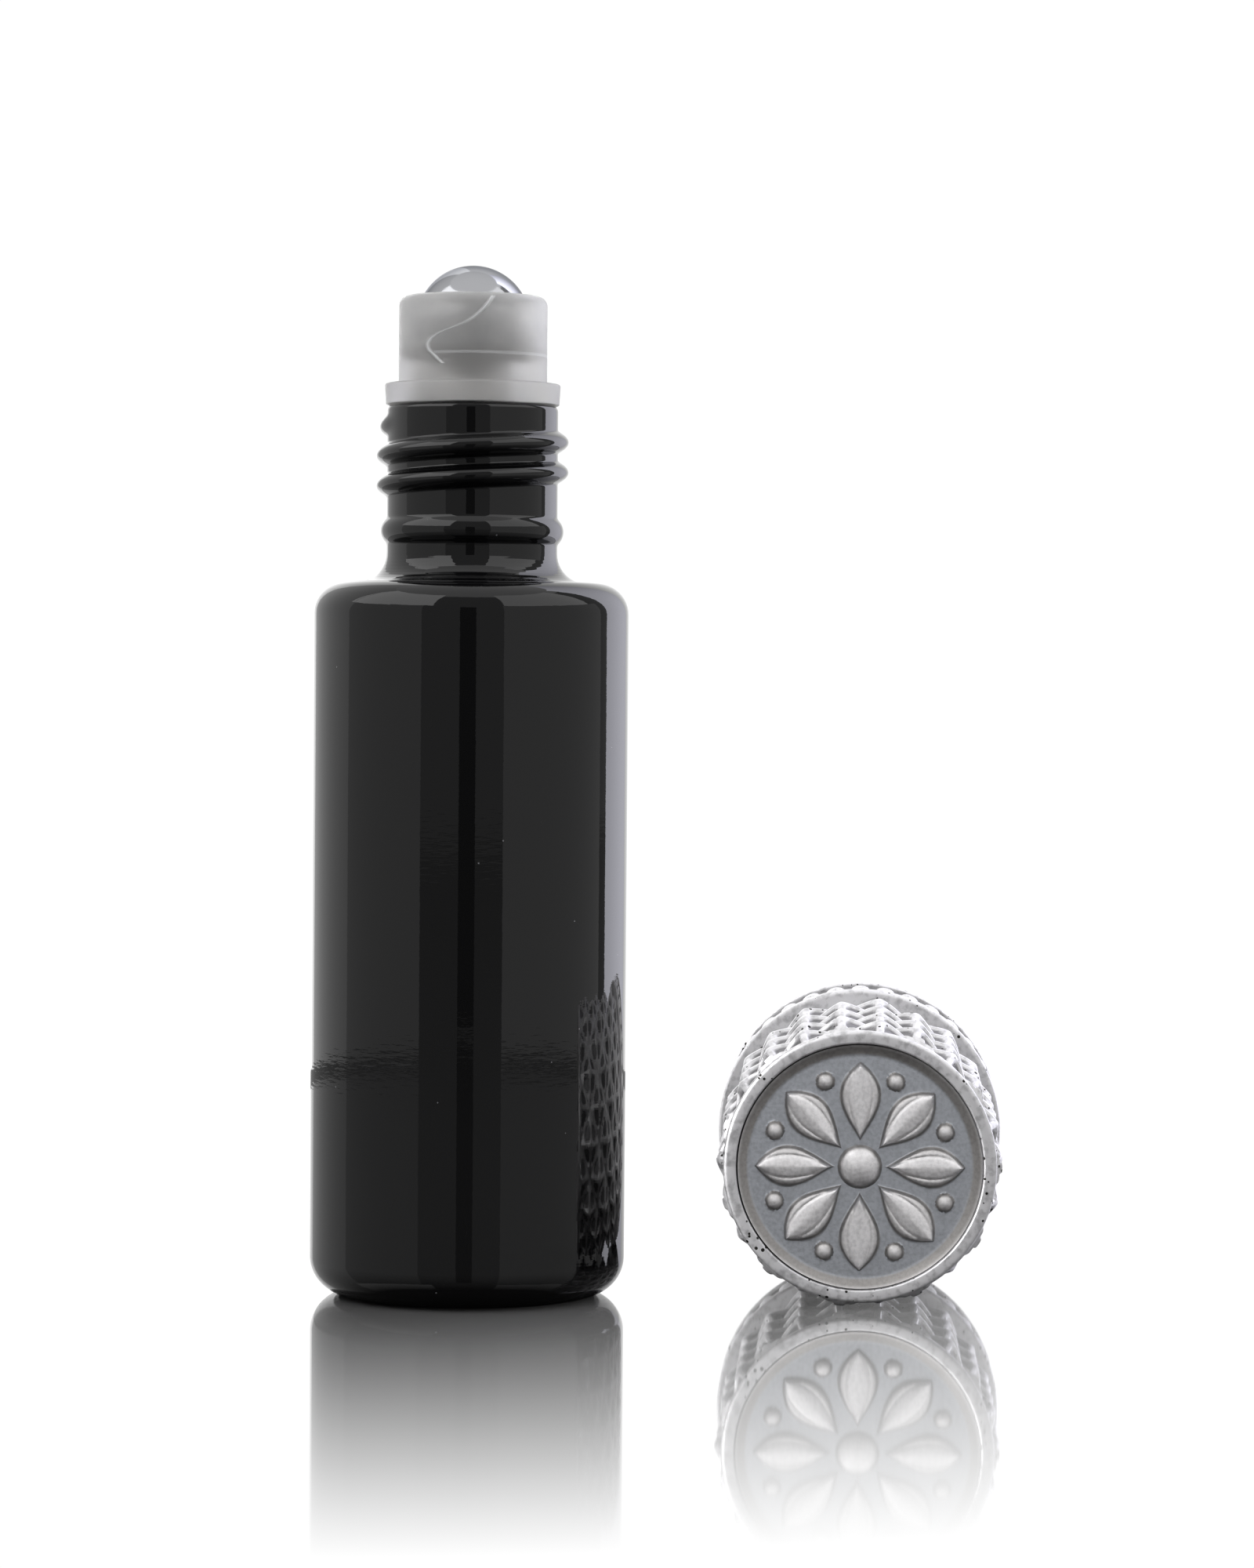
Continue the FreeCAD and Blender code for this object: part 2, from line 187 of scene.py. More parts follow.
def lathe(points: Points, steps: int, closed: bool = False, first_angle: float = 0.0) -> Mesh:
    """Spin an outline about the Z axis into a closed skin.

    One sector is spun, and doubled until it goes all the way round.

    Args:
        points: The (radius, height) outline in millimetres.
        steps: Faces round the axis, a whole number for each sector.
        closed: Whether the outline's last point joins its first.
        first_angle: Angle of the first column of points, in radians.

    Returns:
        The skin, in metres.
    """
    mesh = bmesh.new()
    spoke = Vector((math.cos(first_angle), math.sin(first_angle), 0)) * MM
    verts = [mesh.verts.new(spoke * radius + Vector((0, 0, height * MM))) for radius, height in points]
    edges = [mesh.edges.new(pair) for pair in pairwise(verts)]
    if closed:
        edges.append(mesh.edges.new((verts[-1], verts[0])))
    sectors = 2**SECTOR_DOUBLINGS
    sector = math.tau / sectors
    bmesh.ops.spin(mesh, geom=verts + edges, axis=(0, 0, 1), angle=sector, steps=steps // sectors)
    for doubling in range(SECTOR_DOUBLINGS):
        copy = bmesh.ops.duplicate(mesh, geom=mesh.verts[:] + mesh.edges[:] + mesh.faces[:])["geom"]
        copied = [item for item in copy if isinstance(item, bmesh.types.BMVert)]
        bmesh.ops.rotate(mesh, verts=copied, matrix=Matrix.Rotation(sector * 2**doubling, 3, "Z"))
    bmesh.ops.remove_doubles(mesh, verts=mesh.verts, dist=MERGE_DISTANCE)
    return mesh


def reshape(mesh: Mesh, radius_at: Callable[[float, float, float], float]) -> None:
    """Move each point in or out from the Z axis.

    Args:
        mesh: A skin that was spun about Z.
        radius_at: Gives the new radius from a point's radius, angle and height, in millimetres.
    """
    for vert in mesh.verts:
        radius = math.hypot(vert.co.x, vert.co.y) / MM
        if radius == 0:
            continue
        angle = math.atan2(vert.co.y, vert.co.x)
        share = radius_at(radius, angle, vert.co.z / MM) / radius
        vert.co.x *= share
        vert.co.y *= share


class Nodes:
    """The nodes of one material or world, starting from none."""

    def __init__(self, owner: bpy.types.Material | bpy.types.World) -> None:
        """Empty the owner's tree.

        Args:
            owner: The material or world.
        """
        owner.use_nodes = True
        self.tree = owner.node_tree
        self.tree.nodes.clear()

    @cached_property
    def place(self) -> Socket:
        """The object's own coordinates, in metres."""
        return self.add("TexCoord", output="Object")

    def add(
        self,
        kind: str,
        sockets: Sockets | None = None,
        stops: list[tuple[float, Colour]] | None = None,
        output: str | None = None,
        **settings: object,
    ) -> Socket | None:
        """Add a node with its settings, and fill or link its input sockets.

        Args:
            kind: Blender's name for the type of node, after the prefix that all of them share.
            sockets: Input name or number to a value, or to an output socket to link from.
            stops: Places and colours of a colour ramp.
            output: Name of the output to give back, where that isn't the first.
            settings: Properties of the node itself.

        Returns:
            The output, or None where the node has none.
        """
        node = self.tree.nodes.new("ShaderNode" + kind)
        for name, value in settings.items():
            setattr(node, name, value)
        if stops:
            ramp = node.color_ramp.elements
            while len(ramp) < len(stops):
                ramp.new(0.5)
            for element, (place, colour) in zip(ramp, stops):
                element.position = place
                element.color = colour
        for name, value in (sockets or {}).items():
            if isinstance(value, Socket):
                self.tree.links.new(value, node.inputs[name])
            else:
                node.inputs[name].default_value = value
        if output:
            return node.outputs[output]
        return next((socket for socket in node.outputs if socket.enabled), None)


@dataclass(frozen=True)
class Finish:
    """A named surface that makes its own material."""

    name: str = "finish"

    def sockets(self, nodes: Nodes) -> Sockets:
        """Add the nodes of the surface's patterns.

        Args:
            nodes: The material's nodes.

        Returns:
            What the shader's inputs take.
        """
        raise NotImplementedError

    def make(self) -> bpy.types.Material:
        """Make the material, with one shader.

        Returns:
            The material.
        """
        material = bpy.data.materials.new(self.name)
        nodes = Nodes(material)
        shader = nodes.add("BsdfPrincipled", self.sockets(nodes))
        nodes.add("OutputMaterial", {"Surface": shader})
        return material


@dataclass(frozen=True)
class BlackGlass(Finish):
    """Opaque black soda-lime glass, blown in a mould and fire polished.

    It gives clean mirror reflections on a black ground, bent a little by the mould's ripple and
    frayed by fine level streaks, with a few grains of dust.
    """

    name: str = "black_blown_glass"
    colour: str = "#060607"
    dust_colour: str = "#77777A"
    ior: float = 1.47
    roughness: float = 0.03
    ripple: float = 4.5
    ripple_depth: float = 0.007
    ripple_detail: float = 4.0
    ripple_fineness: float = 0.4
    dust_spacing: float = 2.6
    dust_share: float = 0.022
    streak_length: float = 1.3
    streak_height: float = 0.24
    streak_depth: float = 0.003
    streak_detail: float = 2.0

    def sockets(self, nodes: Nodes) -> Sockets:
        """Add the dust, the ripple and the streaks.

        Args:
            nodes: The material's nodes.

        Returns:
            What the shader's inputs take.
        """
        cells = nodes.add("TexVoronoi", {"Vector": nodes.place, "Scale": per_mm(self.dust_spacing)})
        dust = nodes.add("Math", {0: cells, 1: self.dust_share}, operation="LESS_THAN")
        dusty = nodes.add(
            "Mix",
            {"Factor": dust, "A": linear(self.colour), "B": linear(self.dust_colour)},
            data_type="RGBA",
        )
        swell = nodes.add(
            "TexNoise",
            {
                "Vector": nodes.place,
                "Scale": per_mm(self.ripple),
                "Detail": self.ripple_detail,
                "Roughness": self.ripple_fineness,
            },
        )
        rippled = nodes.add("Bump", {"Height": swell, "Distance": self.ripple_depth * MM})
        stretch = (per_mm(self.streak_length), per_mm(self.streak_length), per_mm(self.streak_height))
        drawn = nodes.add("VectorMath", {0: nodes.place, 1: stretch}, operation="MULTIPLY")
        streaks = nodes.add("TexNoise", {"Vector": drawn, "Scale": 1.0, "Detail": self.streak_detail})
        streaked = nodes.add(
            "Bump", {"Height": streaks, "Distance": self.streak_depth * MM, "Normal": rippled}
        )
        return {"IOR": self.ior, "Base Color": dusty, "Roughness": self.roughness, "Normal": streaked}


@dataclass(frozen=True)
class NaturalPolyethylene(Finish):
    """Undyed low-density polyethylene, injection moulded with a fine matt skin.

    It is milky and lets light through, so what lies inside shows as a soft darker shape; the lower barrel
    is painted darker as painted shade. A raised line shows where two flows of plastic met, painted pale as
    a painted highlight on its ridge, and a pale line painted where the seat starts inside is the painted
    highlight of the seat's edge seen through the wall.
    """

    name: str = "natural_polyethylene"
    colour: str = "#F3F2F1"
    # The pale colour of the painted highlight on both lines.
    thin: str = "#E1E1E1"
    # The grey of the painted shade on the lower barrel.
    painted_foot_shade: str = "#D6D5D4"
    line_highlight: str = "#F6F8FA"
    ior: float = 1.51
    roughness: tuple[float, float] = (0.34, 0.46)
    clearness: float = 0.74
    scatter: float = 0.7
    scatter_depth: float = 1.6
    cloud: float = 2.5
    cloud_detail: float = 3.0
    cloud_span: tuple[float, float] = (0.3, 0.7)
    seat_line: float = 65.4
    seat_line_width: float = 0.2
    seat_line_start: float = -2.6
    seat_line_strength: float = 0.4
    foot_end: float = 66.2
    flow_reach: float = 6.0
    flow_half_width: float = 0.24
    flow_depth: float = 0.12
    flow_line: tuple[tuple[float, float], ...] = (
        (64.6, -1.97),
        (65.15, -2.52),
        (65.69, -2.96),
        (66.24, -2.85),
        (66.68, -2.24),
        (67.06, -1.26),
        (67.6, -0.05),
        (68.16, 0.66),
        (68.7, 1.15),
        (69.25, 1.48),
    )

    def add_flow_line(self, nodes: Nodes, axes: bpy.types.NodeOutputs) -> Socket:
        """Add the line where two flows of plastic met, on the front of the barrel.

        Args:
            nodes: The material's nodes.
            axes: The object's coordinates, apart.

        Returns:
            A mask that is 1 on the line and 0 away from it.
        """
        low = self.flow_line[0][0] * MM
        high = self.flow_line[-1][0] * MM
        share = nodes.add("MapRange", {"Value": axes["Z"], "From Min": low, "From Max": high}, clamp=False)
        route = nodes.add("FloatCurve", {"Value": share})
        mapping = route.node.mapping
        points = mapping.curves[0].points
        spots = [
            ((height * MM - low) / (high - low), 0.5 + side / self.flow_reach)
            for height, side in self.flow_line
        ]
        points[0].location = spots[0]
        points[1].location = spots[-1]
        for spot in spots[1:-1]:
            points.new(*spot)
        mapping.update()
        reach = self.flow_reach / 2 * MM
        side = nodes.add("MapRange", {"Value": route, "To Min": -reach, "To Max": reach})
        gap = nodes.add("Math", {0: axes["X"], 1: side}, operation="SUBTRACT")
        away = nodes.add("Math", {0: gap}, operation="ABSOLUTE")
        line = nodes.add(
            "MapRange",
            {"Value": away, "From Max": self.flow_half_width * MM, "To Min": 1.0, "To Max": 0.0},
            interpolation_type="SMOOTHSTEP",
        )
        # The curve goes on past its ends, so the line is kept to shares from 0 to 1.
        inside = nodes.add("Math", {0: share, 1: 0.5, 2: 0.5}, operation="COMPARE")
        front = nodes.add("Math", {0: axes["Y"], 1: 0.0}, operation="LESS_THAN")
        mask = nodes.add("Math", {0: inside, 1: front}, operation="MULTIPLY")
        return nodes.add("Math", {0: mask, 1: line}, operation="MULTIPLY")

    def add_seat_line(self, nodes: Nodes, axes: bpy.types.NodeOutputs) -> Socket:
        """Add the level line that the seat inside shows through the barrel, as a mask for its painted
        highlight.

        Args:
            nodes: The material's nodes.
            axes: The object's coordinates, apart.

        Returns:
            A mask with the line's strength on it and 0 away from it.
        """
        level = nodes.add(
            "Math",
            {0: axes["Z"], 1: self.seat_line * MM, 2: self.seat_line_width / 2 * MM},
            operation="COMPARE",
        )
        right = nodes.add("Math", {0: axes["X"], 1: self.seat_line_start * MM}, operation="GREATER_THAN")
        strength = nodes.add("Math", {0: right, 1: self.seat_line_strength}, operation="MULTIPLY")
        return nodes.add("Math", {0: level, 1: strength}, operation="MULTIPLY")

    def sockets(self, nodes: Nodes) -> Sockets:
        """Add the clouds, the painted shade on the lower barrel and the two lines.

        Args:
            nodes: The material's nodes.

        Returns:
            What the shader's inputs take.
        """
        axes = nodes.add("SeparateXYZ", {0: nodes.place}).node.outputs
        cloud = nodes.add(
            "TexNoise", {"Vector": nodes.place, "Scale": per_mm(self.cloud), "Detail": self.cloud_detail}
        )
        tints = (linear(self.thin), linear(self.colour))
        tint = nodes.add("ValToRGB", {0: cloud}, stops=list(zip(self.cloud_span, tints)))
        # The lower barrel, below the seat line, is painted darker as painted shade.
        foot = nodes.add(
            "MapRange",
            {"Value": axes["Z"], "From Min": self.foot_end * MM, "From Max": self.seat_line * MM},
            interpolation_type="SMOOTHSTEP",
        )
        wall = nodes.add("Mix", {"Factor": foot, "A": tint, "B": linear(self.painted_foot_shade)}, data_type="RGBA")
        flow = nodes.add(
            "Math",
            {0: self.add_flow_line(nodes, axes), 1: self.add_seat_line(nodes, axes)},
            operation="MAXIMUM",
        )
        # Both lines are painted pale: a painted highlight on the knit line's ridge and on the seat's edge
        # seen through the wall.
        surface = nodes.add(
            "Mix", {"Factor": flow, "A": wall, "B": linear(self.line_highlight)}, data_type="RGBA"
        )
        clear = nodes.add(
            "MapRange", {"Value": flow, "To Min": self.clearness, "To Max": self.clearness / 2}
        )
        matt = nodes.add(
            "MapRange", {"Value": cloud, "To Min": self.roughness[0], "To Max": self.roughness[1]}
        )
        raised = nodes.add("Bump", {"Height": flow, "Distance": self.flow_depth * MM})
        return {
            "IOR": self.ior,
            "Subsurface Weight": self.scatter,
            "Subsurface Radius": (1.0, 1.0, 1.0),
            "Subsurface Scale": self.scatter_depth * MM,
            "Base Color": surface,
            "Transmission Weight": clear,
            "Roughness": matt,
            "Normal": raised,
        }


@dataclass(frozen=True)
class HazedFinish(Finish):
    """One colour all over, with a gloss that comes and goes in a haze."""

    colour: str = WHITE
    roughness: tuple[float, float] = (0.0, 1.0)
    haze: float = 1.0
    haze_detail: float = 3.0

    def sockets(self, nodes: Nodes) -> Sockets:
        """Add the haze.

        Args:
            nodes: The material's nodes.

        Returns:
            What the shader's inputs take.
        """
        haze = nodes.add(
            "TexNoise", {"Vector": nodes.place, "Scale": per_mm(self.haze), "Detail": self.haze_detail}
        )
        matt = nodes.add(
            "MapRange", {"Value": haze, "To Min": self.roughness[0], "To Max": self.roughness[1]}
        )
        return {"Base Color": linear(self.colour), "Roughness": matt}


@dataclass(frozen=True)
class BallSteel(HazedFinish):
    """Chrome steel ball, ground and lapped to a mirror.

    It shows the room as sharp bent pictures, with a faint haze from use.
    """

    name: str = "lapped_steel"
    colour: str = "#ABACAF"
    edge: str = "#A4A5A8"
    roughness: tuple[float, float] = (0.0, 0.2)
    haze: float = 1.2
    haze_detail: float = 6.0

    def sockets(self, nodes: Nodes) -> Sockets:
        """The hazed finish as a metal, with its tint at grazing angles."""
        return super().sockets(nodes) | {"Metallic": 1.0, "Specular Tint": linear(self.edge)}


@dataclass(frozen=True)
class LiningPlastic(HazedFinish):
    """Black polypropylene, injection moulded, with a faint satin skin."""

    name: str = "black_polypropylene"
    colour: str = "#141415"
    roughness: tuple[float, float] = (0.32, 0.52)
    haze: float = 0.3


@dataclass(frozen=True)
class WornMetal(Finish):
    """White metal whose tone follows its relief, under a mottled grain that also dulls it.

    The real grain is finer, and is drawn as coarse as it needs to show.
    """

    roughness: tuple[float, float] = (0.4, 0.66)
    grain: float = 0.5
    grain_detail: float = 5.0
    grain_strength: float = 0.5
    grain_depth: float = 0.02
    mottle_depth: float = 0.72
    mottle_span: tuple[float, float] = (0.32, 0.52)

    def tones(self) -> list[tuple[float, Colour]]:
        """The colour at each share of the relief's height."""
        raise NotImplementedError

    def sockets(self, nodes: Nodes) -> Sockets:
        """Add the tones and the grain.

        Args:
            nodes: The material's nodes.

        Returns:
            What the shader's inputs take.
        """
        relief = nodes.add("Attribute", output="Fac", attribute_name="relief")
        tone = nodes.add("ValToRGB", {0: relief}, stops=self.tones())
        grain = nodes.add(
            "TexNoise", {"Vector": nodes.place, "Scale": per_mm(self.grain), "Detail": self.grain_detail}
        )
        shades = (grey(self.mottle_depth), grey(1.0))
        mottle = nodes.add("ValToRGB", {0: grain}, stops=list(zip(self.mottle_span, shades)))
        worn = nodes.add(
            "Mix", {"Factor": 1.0, "A": tone, "B": mottle}, data_type="RGBA", blend_type="MULTIPLY"
        )
        matt = nodes.add(
            "MapRange", {"Value": grain, "To Min": self.roughness[0], "To Max": self.roughness[1]}
        )
        grained = nodes.add(
            "Bump", {"Height": grain, "Strength": self.grain_strength, "Distance": self.grain_depth * MM}
        )
        return {"Metallic": 1.0, "Base Color": worn, "Roughness": matt, "Normal": grained}


@dataclass(frozen=True)
class CastMetal(WornMetal):
    """White metal, cast in a mould and tumbled bright, with painted shade in its hollows.

    High places keep the bright metal; the studs' pockets, the panel's ground and the inside are painted
    dull grey as painted shade, with small casting pits.
    """

    name: str = "cast_white_metal"
    bright: str = "#E8E7E9"
    # The grey of the painted shade in the studs' pockets, the panel's ground and the cap's inside.
    painted_hollow_shade: str = "#8E8D8F"
    pit: str = "#3A3836"
    bright_from: float = 0.55
    patch: float = 3.2
    patch_detail: float = 2.0
    patch_span: tuple[float, float] = (0.36, 0.7)
    pit_spacing: float = 0.55
    pit_share: float = 0.28

    def tones(self) -> list[tuple[float, Colour]]:
        """Painted shade in the hollows and bright metal on the high places."""
        return [(0.0, linear(self.painted_hollow_shade)), (self.bright_from, linear(self.bright))]

    def sockets(self, nodes: Nodes) -> Sockets:
        """Add the worn metal, and patches of pits in it.

        Args:
            nodes: The material's nodes.

        Returns:
            What the shader's inputs take.
        """
        worn = super().sockets(nodes)
        cells = nodes.add("TexVoronoi", {"Vector": nodes.place, "Scale": per_mm(self.pit_spacing)})
        patches = nodes.add(
            "TexNoise", {"Vector": nodes.place, "Scale": per_mm(self.patch), "Detail": self.patch_detail}
        )
        reach = nodes.add(
            "MapRange",
            {
                "Value": patches,
                "From Min": self.patch_span[0],
                "From Max": self.patch_span[1],
                "To Max": self.pit_share,
            },
        )
        pitted = nodes.add("Math", {0: cells, 1: reach}, operation="LESS_THAN")
        surface = nodes.add(
            "Mix", {"Factor": pitted, "A": worn["Base Color"], "B": linear(self.pit)}, data_type="RGBA"
        )
        return worn | {"Base Color": surface}


@dataclass(frozen=True)
class ReliefMetal(WornMetal):
    """White metal relief, struck and antiqued.

    The raised work is rubbed to a soft silver, its walls keep a grey stain, and the ground between
    is dull and finely scratched.
    """

    name: str = "antiqued_relief_metal"
    ground: str = "#B5B8BE"
    wall: str = "#A6A3A1"
    crown: str = "#F0EEEF"
    wall_span: tuple[float, float] = (0.06, 0.3)
    crown_from: float = 0.62
    roughness: tuple[float, float] = (0.36, 0.6)
    grain: float = 0.25
    grain_detail: float = 6.0
    grain_strength: float = 0.6
    mottle_depth: float = 0.84
    mottle_span: tuple[float, float] = (0.35, 0.6)

    def tones(self) -> list[tuple[float, Colour]]:
        """Ground at the foot, then stained walls, then the rubbed crown."""
        walls = [(share, linear(self.wall)) for share in self.wall_span]
        return [(0.0, linear(self.ground)), *walls, (self.crown_from, linear(self.crown))]


@dataclass(frozen=True)
class PadFoam(Finish):
    """White expanded polyethylene sheet, punched to a disc, with fine closed cells."""

    name: str = "white_pad_foam"
    colour: str = "#E4E3DF"
    shade: str = "#C6C5C0"
    roughness: float = 0.85
    cell: float = 0.3
    cell_span: tuple[float, float] = (0.2, 0.6)
    cell_strength: float = 0.5
    cell_depth: float = 0.05

    def sockets(self, nodes: Nodes) -> Sockets:
        """Add the cells.

        Args:
            nodes: The material's nodes.

        Returns:
            What the shader's inputs take.
        """
        cells = nodes.add("TexVoronoi", {"Vector": nodes.place, "Scale": per_mm(self.cell)})
        tints = (linear(self.shade), linear(self.colour))
        tone = nodes.add("ValToRGB", {0: cells}, stops=list(zip(self.cell_span, tints)))
        dimpled = nodes.add(
            "Bump", {"Height": cells, "Strength": self.cell_strength, "Distance": self.cell_depth * MM}
        )
        return {"Base Color": tone, "Roughness": self.roughness, "Normal": dimpled}


def add_object(mesh: Mesh, name: str, material: bpy.types.Material) -> Item:
    """Add an object to the scene.

    Args:
        mesh: Its skin, in metres. It is freed.
        name: Its name.
        material: Its surface.

    Returns:
        The object.
    """
    data = bpy.data.meshes.new(name)
    mesh.to_mesh(data)
    mesh.free()
    data.materials.append(material)
    item = bpy.data.objects.new(name, data)
    bpy.context.scene.collection.objects.link(item)
    return item


def make_piece(mesh: Mesh, name: str, finish: Finish, body: Body, node: str) -> Item:
    """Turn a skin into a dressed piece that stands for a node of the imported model.

    Args:
        mesh: The skin, in metres in the shared frame. It is freed.
        name: The piece's name.
        finish: Its surface.
        body: The body that it rides on.
        node: The node that it stands for.

    Returns:
        The piece.
    """
    bmesh.ops.recalc_face_normals(mesh, faces=mesh.faces)
    piece = add_object(mesh, name, finish.make())
    piece.data.shade_smooth()
    piece.data.set_sharp_from_angle(angle=SHARP_ANGLE)
    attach(piece, body.value)
    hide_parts(node)
    LOG.info("%s rides on %s with %d faces", name, body.value, len(piece.data.polygons))
    return piece


@dataclass(frozen=True)
class Thread:
    """A rounded thread that fades at both ends, with its turns counted from the left."""

    rise: float
    pitch: float
    half_width: float
    start_height: float
    start_turns: float
    end_turns: float
    fade_turns: float
    fullness: float = 1.0

    def rise_at(self, angle: float, height: float) -> float:
        """Height of the thread at a place.

        Args:
            angle: Angle round the axis, from -180 degrees on the left to 180.
            height: Height along the axis.

        Returns:
            The rise in millimetres, or 0 away from the thread.
        """
        highest = 0.0
        for whole_turn in range(math.floor(self.start_turns), math.ceil(self.end_turns)):
            turns = (angle + math.pi) / math.tau + whole_turn
            offset = abs(height - self.start_height - self.pitch * turns) / self.half_width
            if offset < 1:
                fade_in = smooth_step(self.start_turns, self.start_turns + self.fade_turns, turns)
                fade_out = smooth_step(-self.end_turns, self.fade_turns - self.end_turns, -turns)
                highest = max(highest, self.rise * fade_in * fade_out * (1 - offset**2) ** self.fullness)
        return highest


@dataclass
class GlassBottle:
    """The blown bottle: heel, body, shoulder, and a neck with transfer bead and thread."""

    body_radius: float = 11.0
    shoulder_height: float = 49.65
    shoulder_radius: float = 2.2
    heel_radius: float = 2.6
    bearing_width: float = 0.8
    push_up: float = 1.0
    wall: float = 2.0
    base: float = 3.0
    neck_radius: float = 5.975
    neck_bore: float = 4.475
    lip_height: float = 62.0
    flare_radius: float = 2.05
    lip_rounding: float = 0.45
    bead_height: float = 53.2
    bead_rise: float = 0.43
    bead_section: float = 1.1
    foot_fillet: float = 0.14
    thread: Thread = Thread(
        rise=1.05,
        pitch=2.1,
        half_width=0.86,
        start_height=58.4,
        start_turns=-1.42,
        end_turns=1.135,
        fade_turns=0.2,
        fullness=0.8,
    )
    thread_root: float = 0.3
    steps: int = 288
    arc_steps: int = 12
    row_spacing: float = 0.085

    def outline(self) -> Points:
        """The half section from the middle of the base, round the outside and back inside.

        Returns:
            The (radius, height) points in order.
        """
        bearing = self.body_radius - self.heel_radius
        cavity = self.body_radius - self.wall
        inner_shoulder = self.shoulder_height - self.wall
        corners = [
            Corner(0, self.push_up),
            Corner(bearing - self.bearing_width, 0, self.bearing_width),
            Corner(self.body_radius, 0, self.heel_radius),
            Corner(self.body_radius, self.shoulder_height, self.shoulder_radius),
            Corner(self.neck_radius, self.shoulder_height, self.flare_radius),
            Corner(self.neck_radius, self.lip_height, self.lip_rounding),
            Corner(self.neck_bore, self.lip_height, self.lip_rounding),
            Corner(self.neck_bore, inner_shoulder),
            Corner(cavity, inner_shoulder - self.shoulder_radius, self.shoulder_radius),
            Corner(cavity, self.base, self.wall),
            Corner(0, self.base),
        ]
        points = rounded_outline(corners, self.arc_steps)
        lip = points.index(max(points, key=lambda point: point[1]))
        outside = divided(points[: lip + 1], self.shoulder_height, self.lip_height, self.row_spacing)
        return outside + points[lip + 1 :]

    def bead_relief(self, height: float) -> float:
        """Height of the transfer bead above the neck, and its section's depth below it elsewhere.

        Args:
            height: Height above the base.

        Returns:
            The rise in millimetres.
        """
        offset = min(abs(height - self.bead_height), self.bead_section)
        depth = self.bead_section - self.bead_rise
        return math.sqrt(self.bead_section**2 - offset**2) - depth

    def neck_surface(self, radius: float, angle: float, height: float) -> float:
        """The neck's outside radius with its bead and thread.

        Args:
            radius: The point's plain radius.
            angle: Its angle round the axis.
            height: Its height.

        Returns:
            The radius to use.
        """
        neck_foot = self.shoulder_height + self.flare_radius / 2
        if height < neck_foot or radius < self.neck_radius - self.lip_rounding:
            return radius
        thread = self.thread.rise_at(angle, height) - self.thread_root
        relief = max(thread, self.bead_relief(height))
        plain = smooth_max(-self.thread_root, 0, self.foot_fillet)
        return radius + smooth_max(relief, 0, self.foot_fillet) - plain

    def build(self) -> Item:
        """Build and dress the bottle.

        Returns:
            The piece.
        """
        mesh = lathe(self.outline(), self.steps)
        reshape(mesh, self.neck_surface)
        return make_piece(mesh, "black_glass_bottle", BlackGlass(), Body.BOTTLE, "glass_bottle")


@dataclass
class RollerHousing:
    """The moulded fitment: plug in the neck, flange on the lip, socket round the ball."""

    lip_height: float = 62.0
    flange_thickness: float = 1.45
    flange_radius: float = 6.13
    flange_taper: float = 0.09
    flange_foot_rounding: float = 0.08
    flange_rounding: float = 0.16
    barrel_radius: float = 5.17
    barrel_height: float = 6.1
    barrel_foot_rounding: float = 0.12
    barrel_rounding: float = 0.7
    socket_radius: float = 4.15
    socket_steps: int = 36
    ball_height: float = 67.7
    plug_radius: float = 4.225
    plug_rounding: float = 0.35
    plug_wall: float = 1.0
    plug_length: float = 6.0
    bore_rounding: float = 0.2
    seat_radius: float = 3.0
    steps: int = 160

    def outline(self) -> Points:
        """The wall's section, as a closed chain.

        Returns:
            The (radius, height) points in order.
        """
        plug_end = self.lip_height - self.plug_length
        flange_top = self.lip_height + self.flange_thickness
        barrel_top = flange_top + self.barrel_height
        plug_bore = self.plug_radius - self.plug_wall
        foot = self.ball_height - math.sqrt(self.socket_radius**2 - self.seat_radius**2)
        opening = math.sqrt(self.socket_radius**2 - (barrel_top - self.ball_height) ** 2)
        corners = [
            Corner(plug_bore, plug_end, self.bore_rounding),
            Corner(self.plug_radius, plug_end, self.plug_rounding),
            Corner(self.plug_radius, self.lip_height),
            Corner(self.flange_radius - self.flange_taper, self.lip_height, self.flange_foot_rounding),
            Corner(self.flange_radius, flange_top, self.flange_rounding),
            Corner(self.barrel_radius, flange_top, self.barrel_foot_rounding),
            Corner(self.barrel_radius, barrel_top, self.barrel_rounding),
            Corner(opening, barrel_top),
        ]
        points = rounded_outline(corners)
        low_angle = math.asin((foot - self.ball_height) / self.socket_radius)
        high_angle = math.asin((barrel_top - self.ball_height) / self.socket_radius)
        for step in range(1, self.socket_steps + 1):
            angle = high_angle + (low_angle - high_angle) * step / self.socket_steps
            height = self.ball_height + self.socket_radius * math.sin(angle)
            points.append((self.socket_radius * math.cos(angle), height))
        points += [(self.seat_radius, self.lip_height), (plug_bore, self.lip_height)]
        return points

    def build(self) -> Item:
        """Build and dress the fitment.

        Returns:
            The piece.
        """
        mesh = lathe(self.outline(), self.steps, closed=True)
        finish = NaturalPolyethylene()
        return make_piece(mesh, "roller_plug_fitment", finish, Body.BOTTLE, "roller_housing")


@dataclass
class RollerBall:
    """The steel ball in its socket."""

    radius: float = 4.0
    height: float = 67.7
    rings: int = 64

    def build(self) -> Item:
        """Build and dress the ball.

        Returns:
            The piece.
        """
        mesh = bmesh.new()
        place = Matrix.Translation((0, 0, self.height * MM))
        bmesh.ops.create_uvsphere(
            mesh, u_segments=2 * self.rings, v_segments=self.rings, radius=self.radius * MM, matrix=place
        )
        return make_piece(mesh, "steel_roller_ball", BallSteel(), Body.ROLLER, "roller_ball")


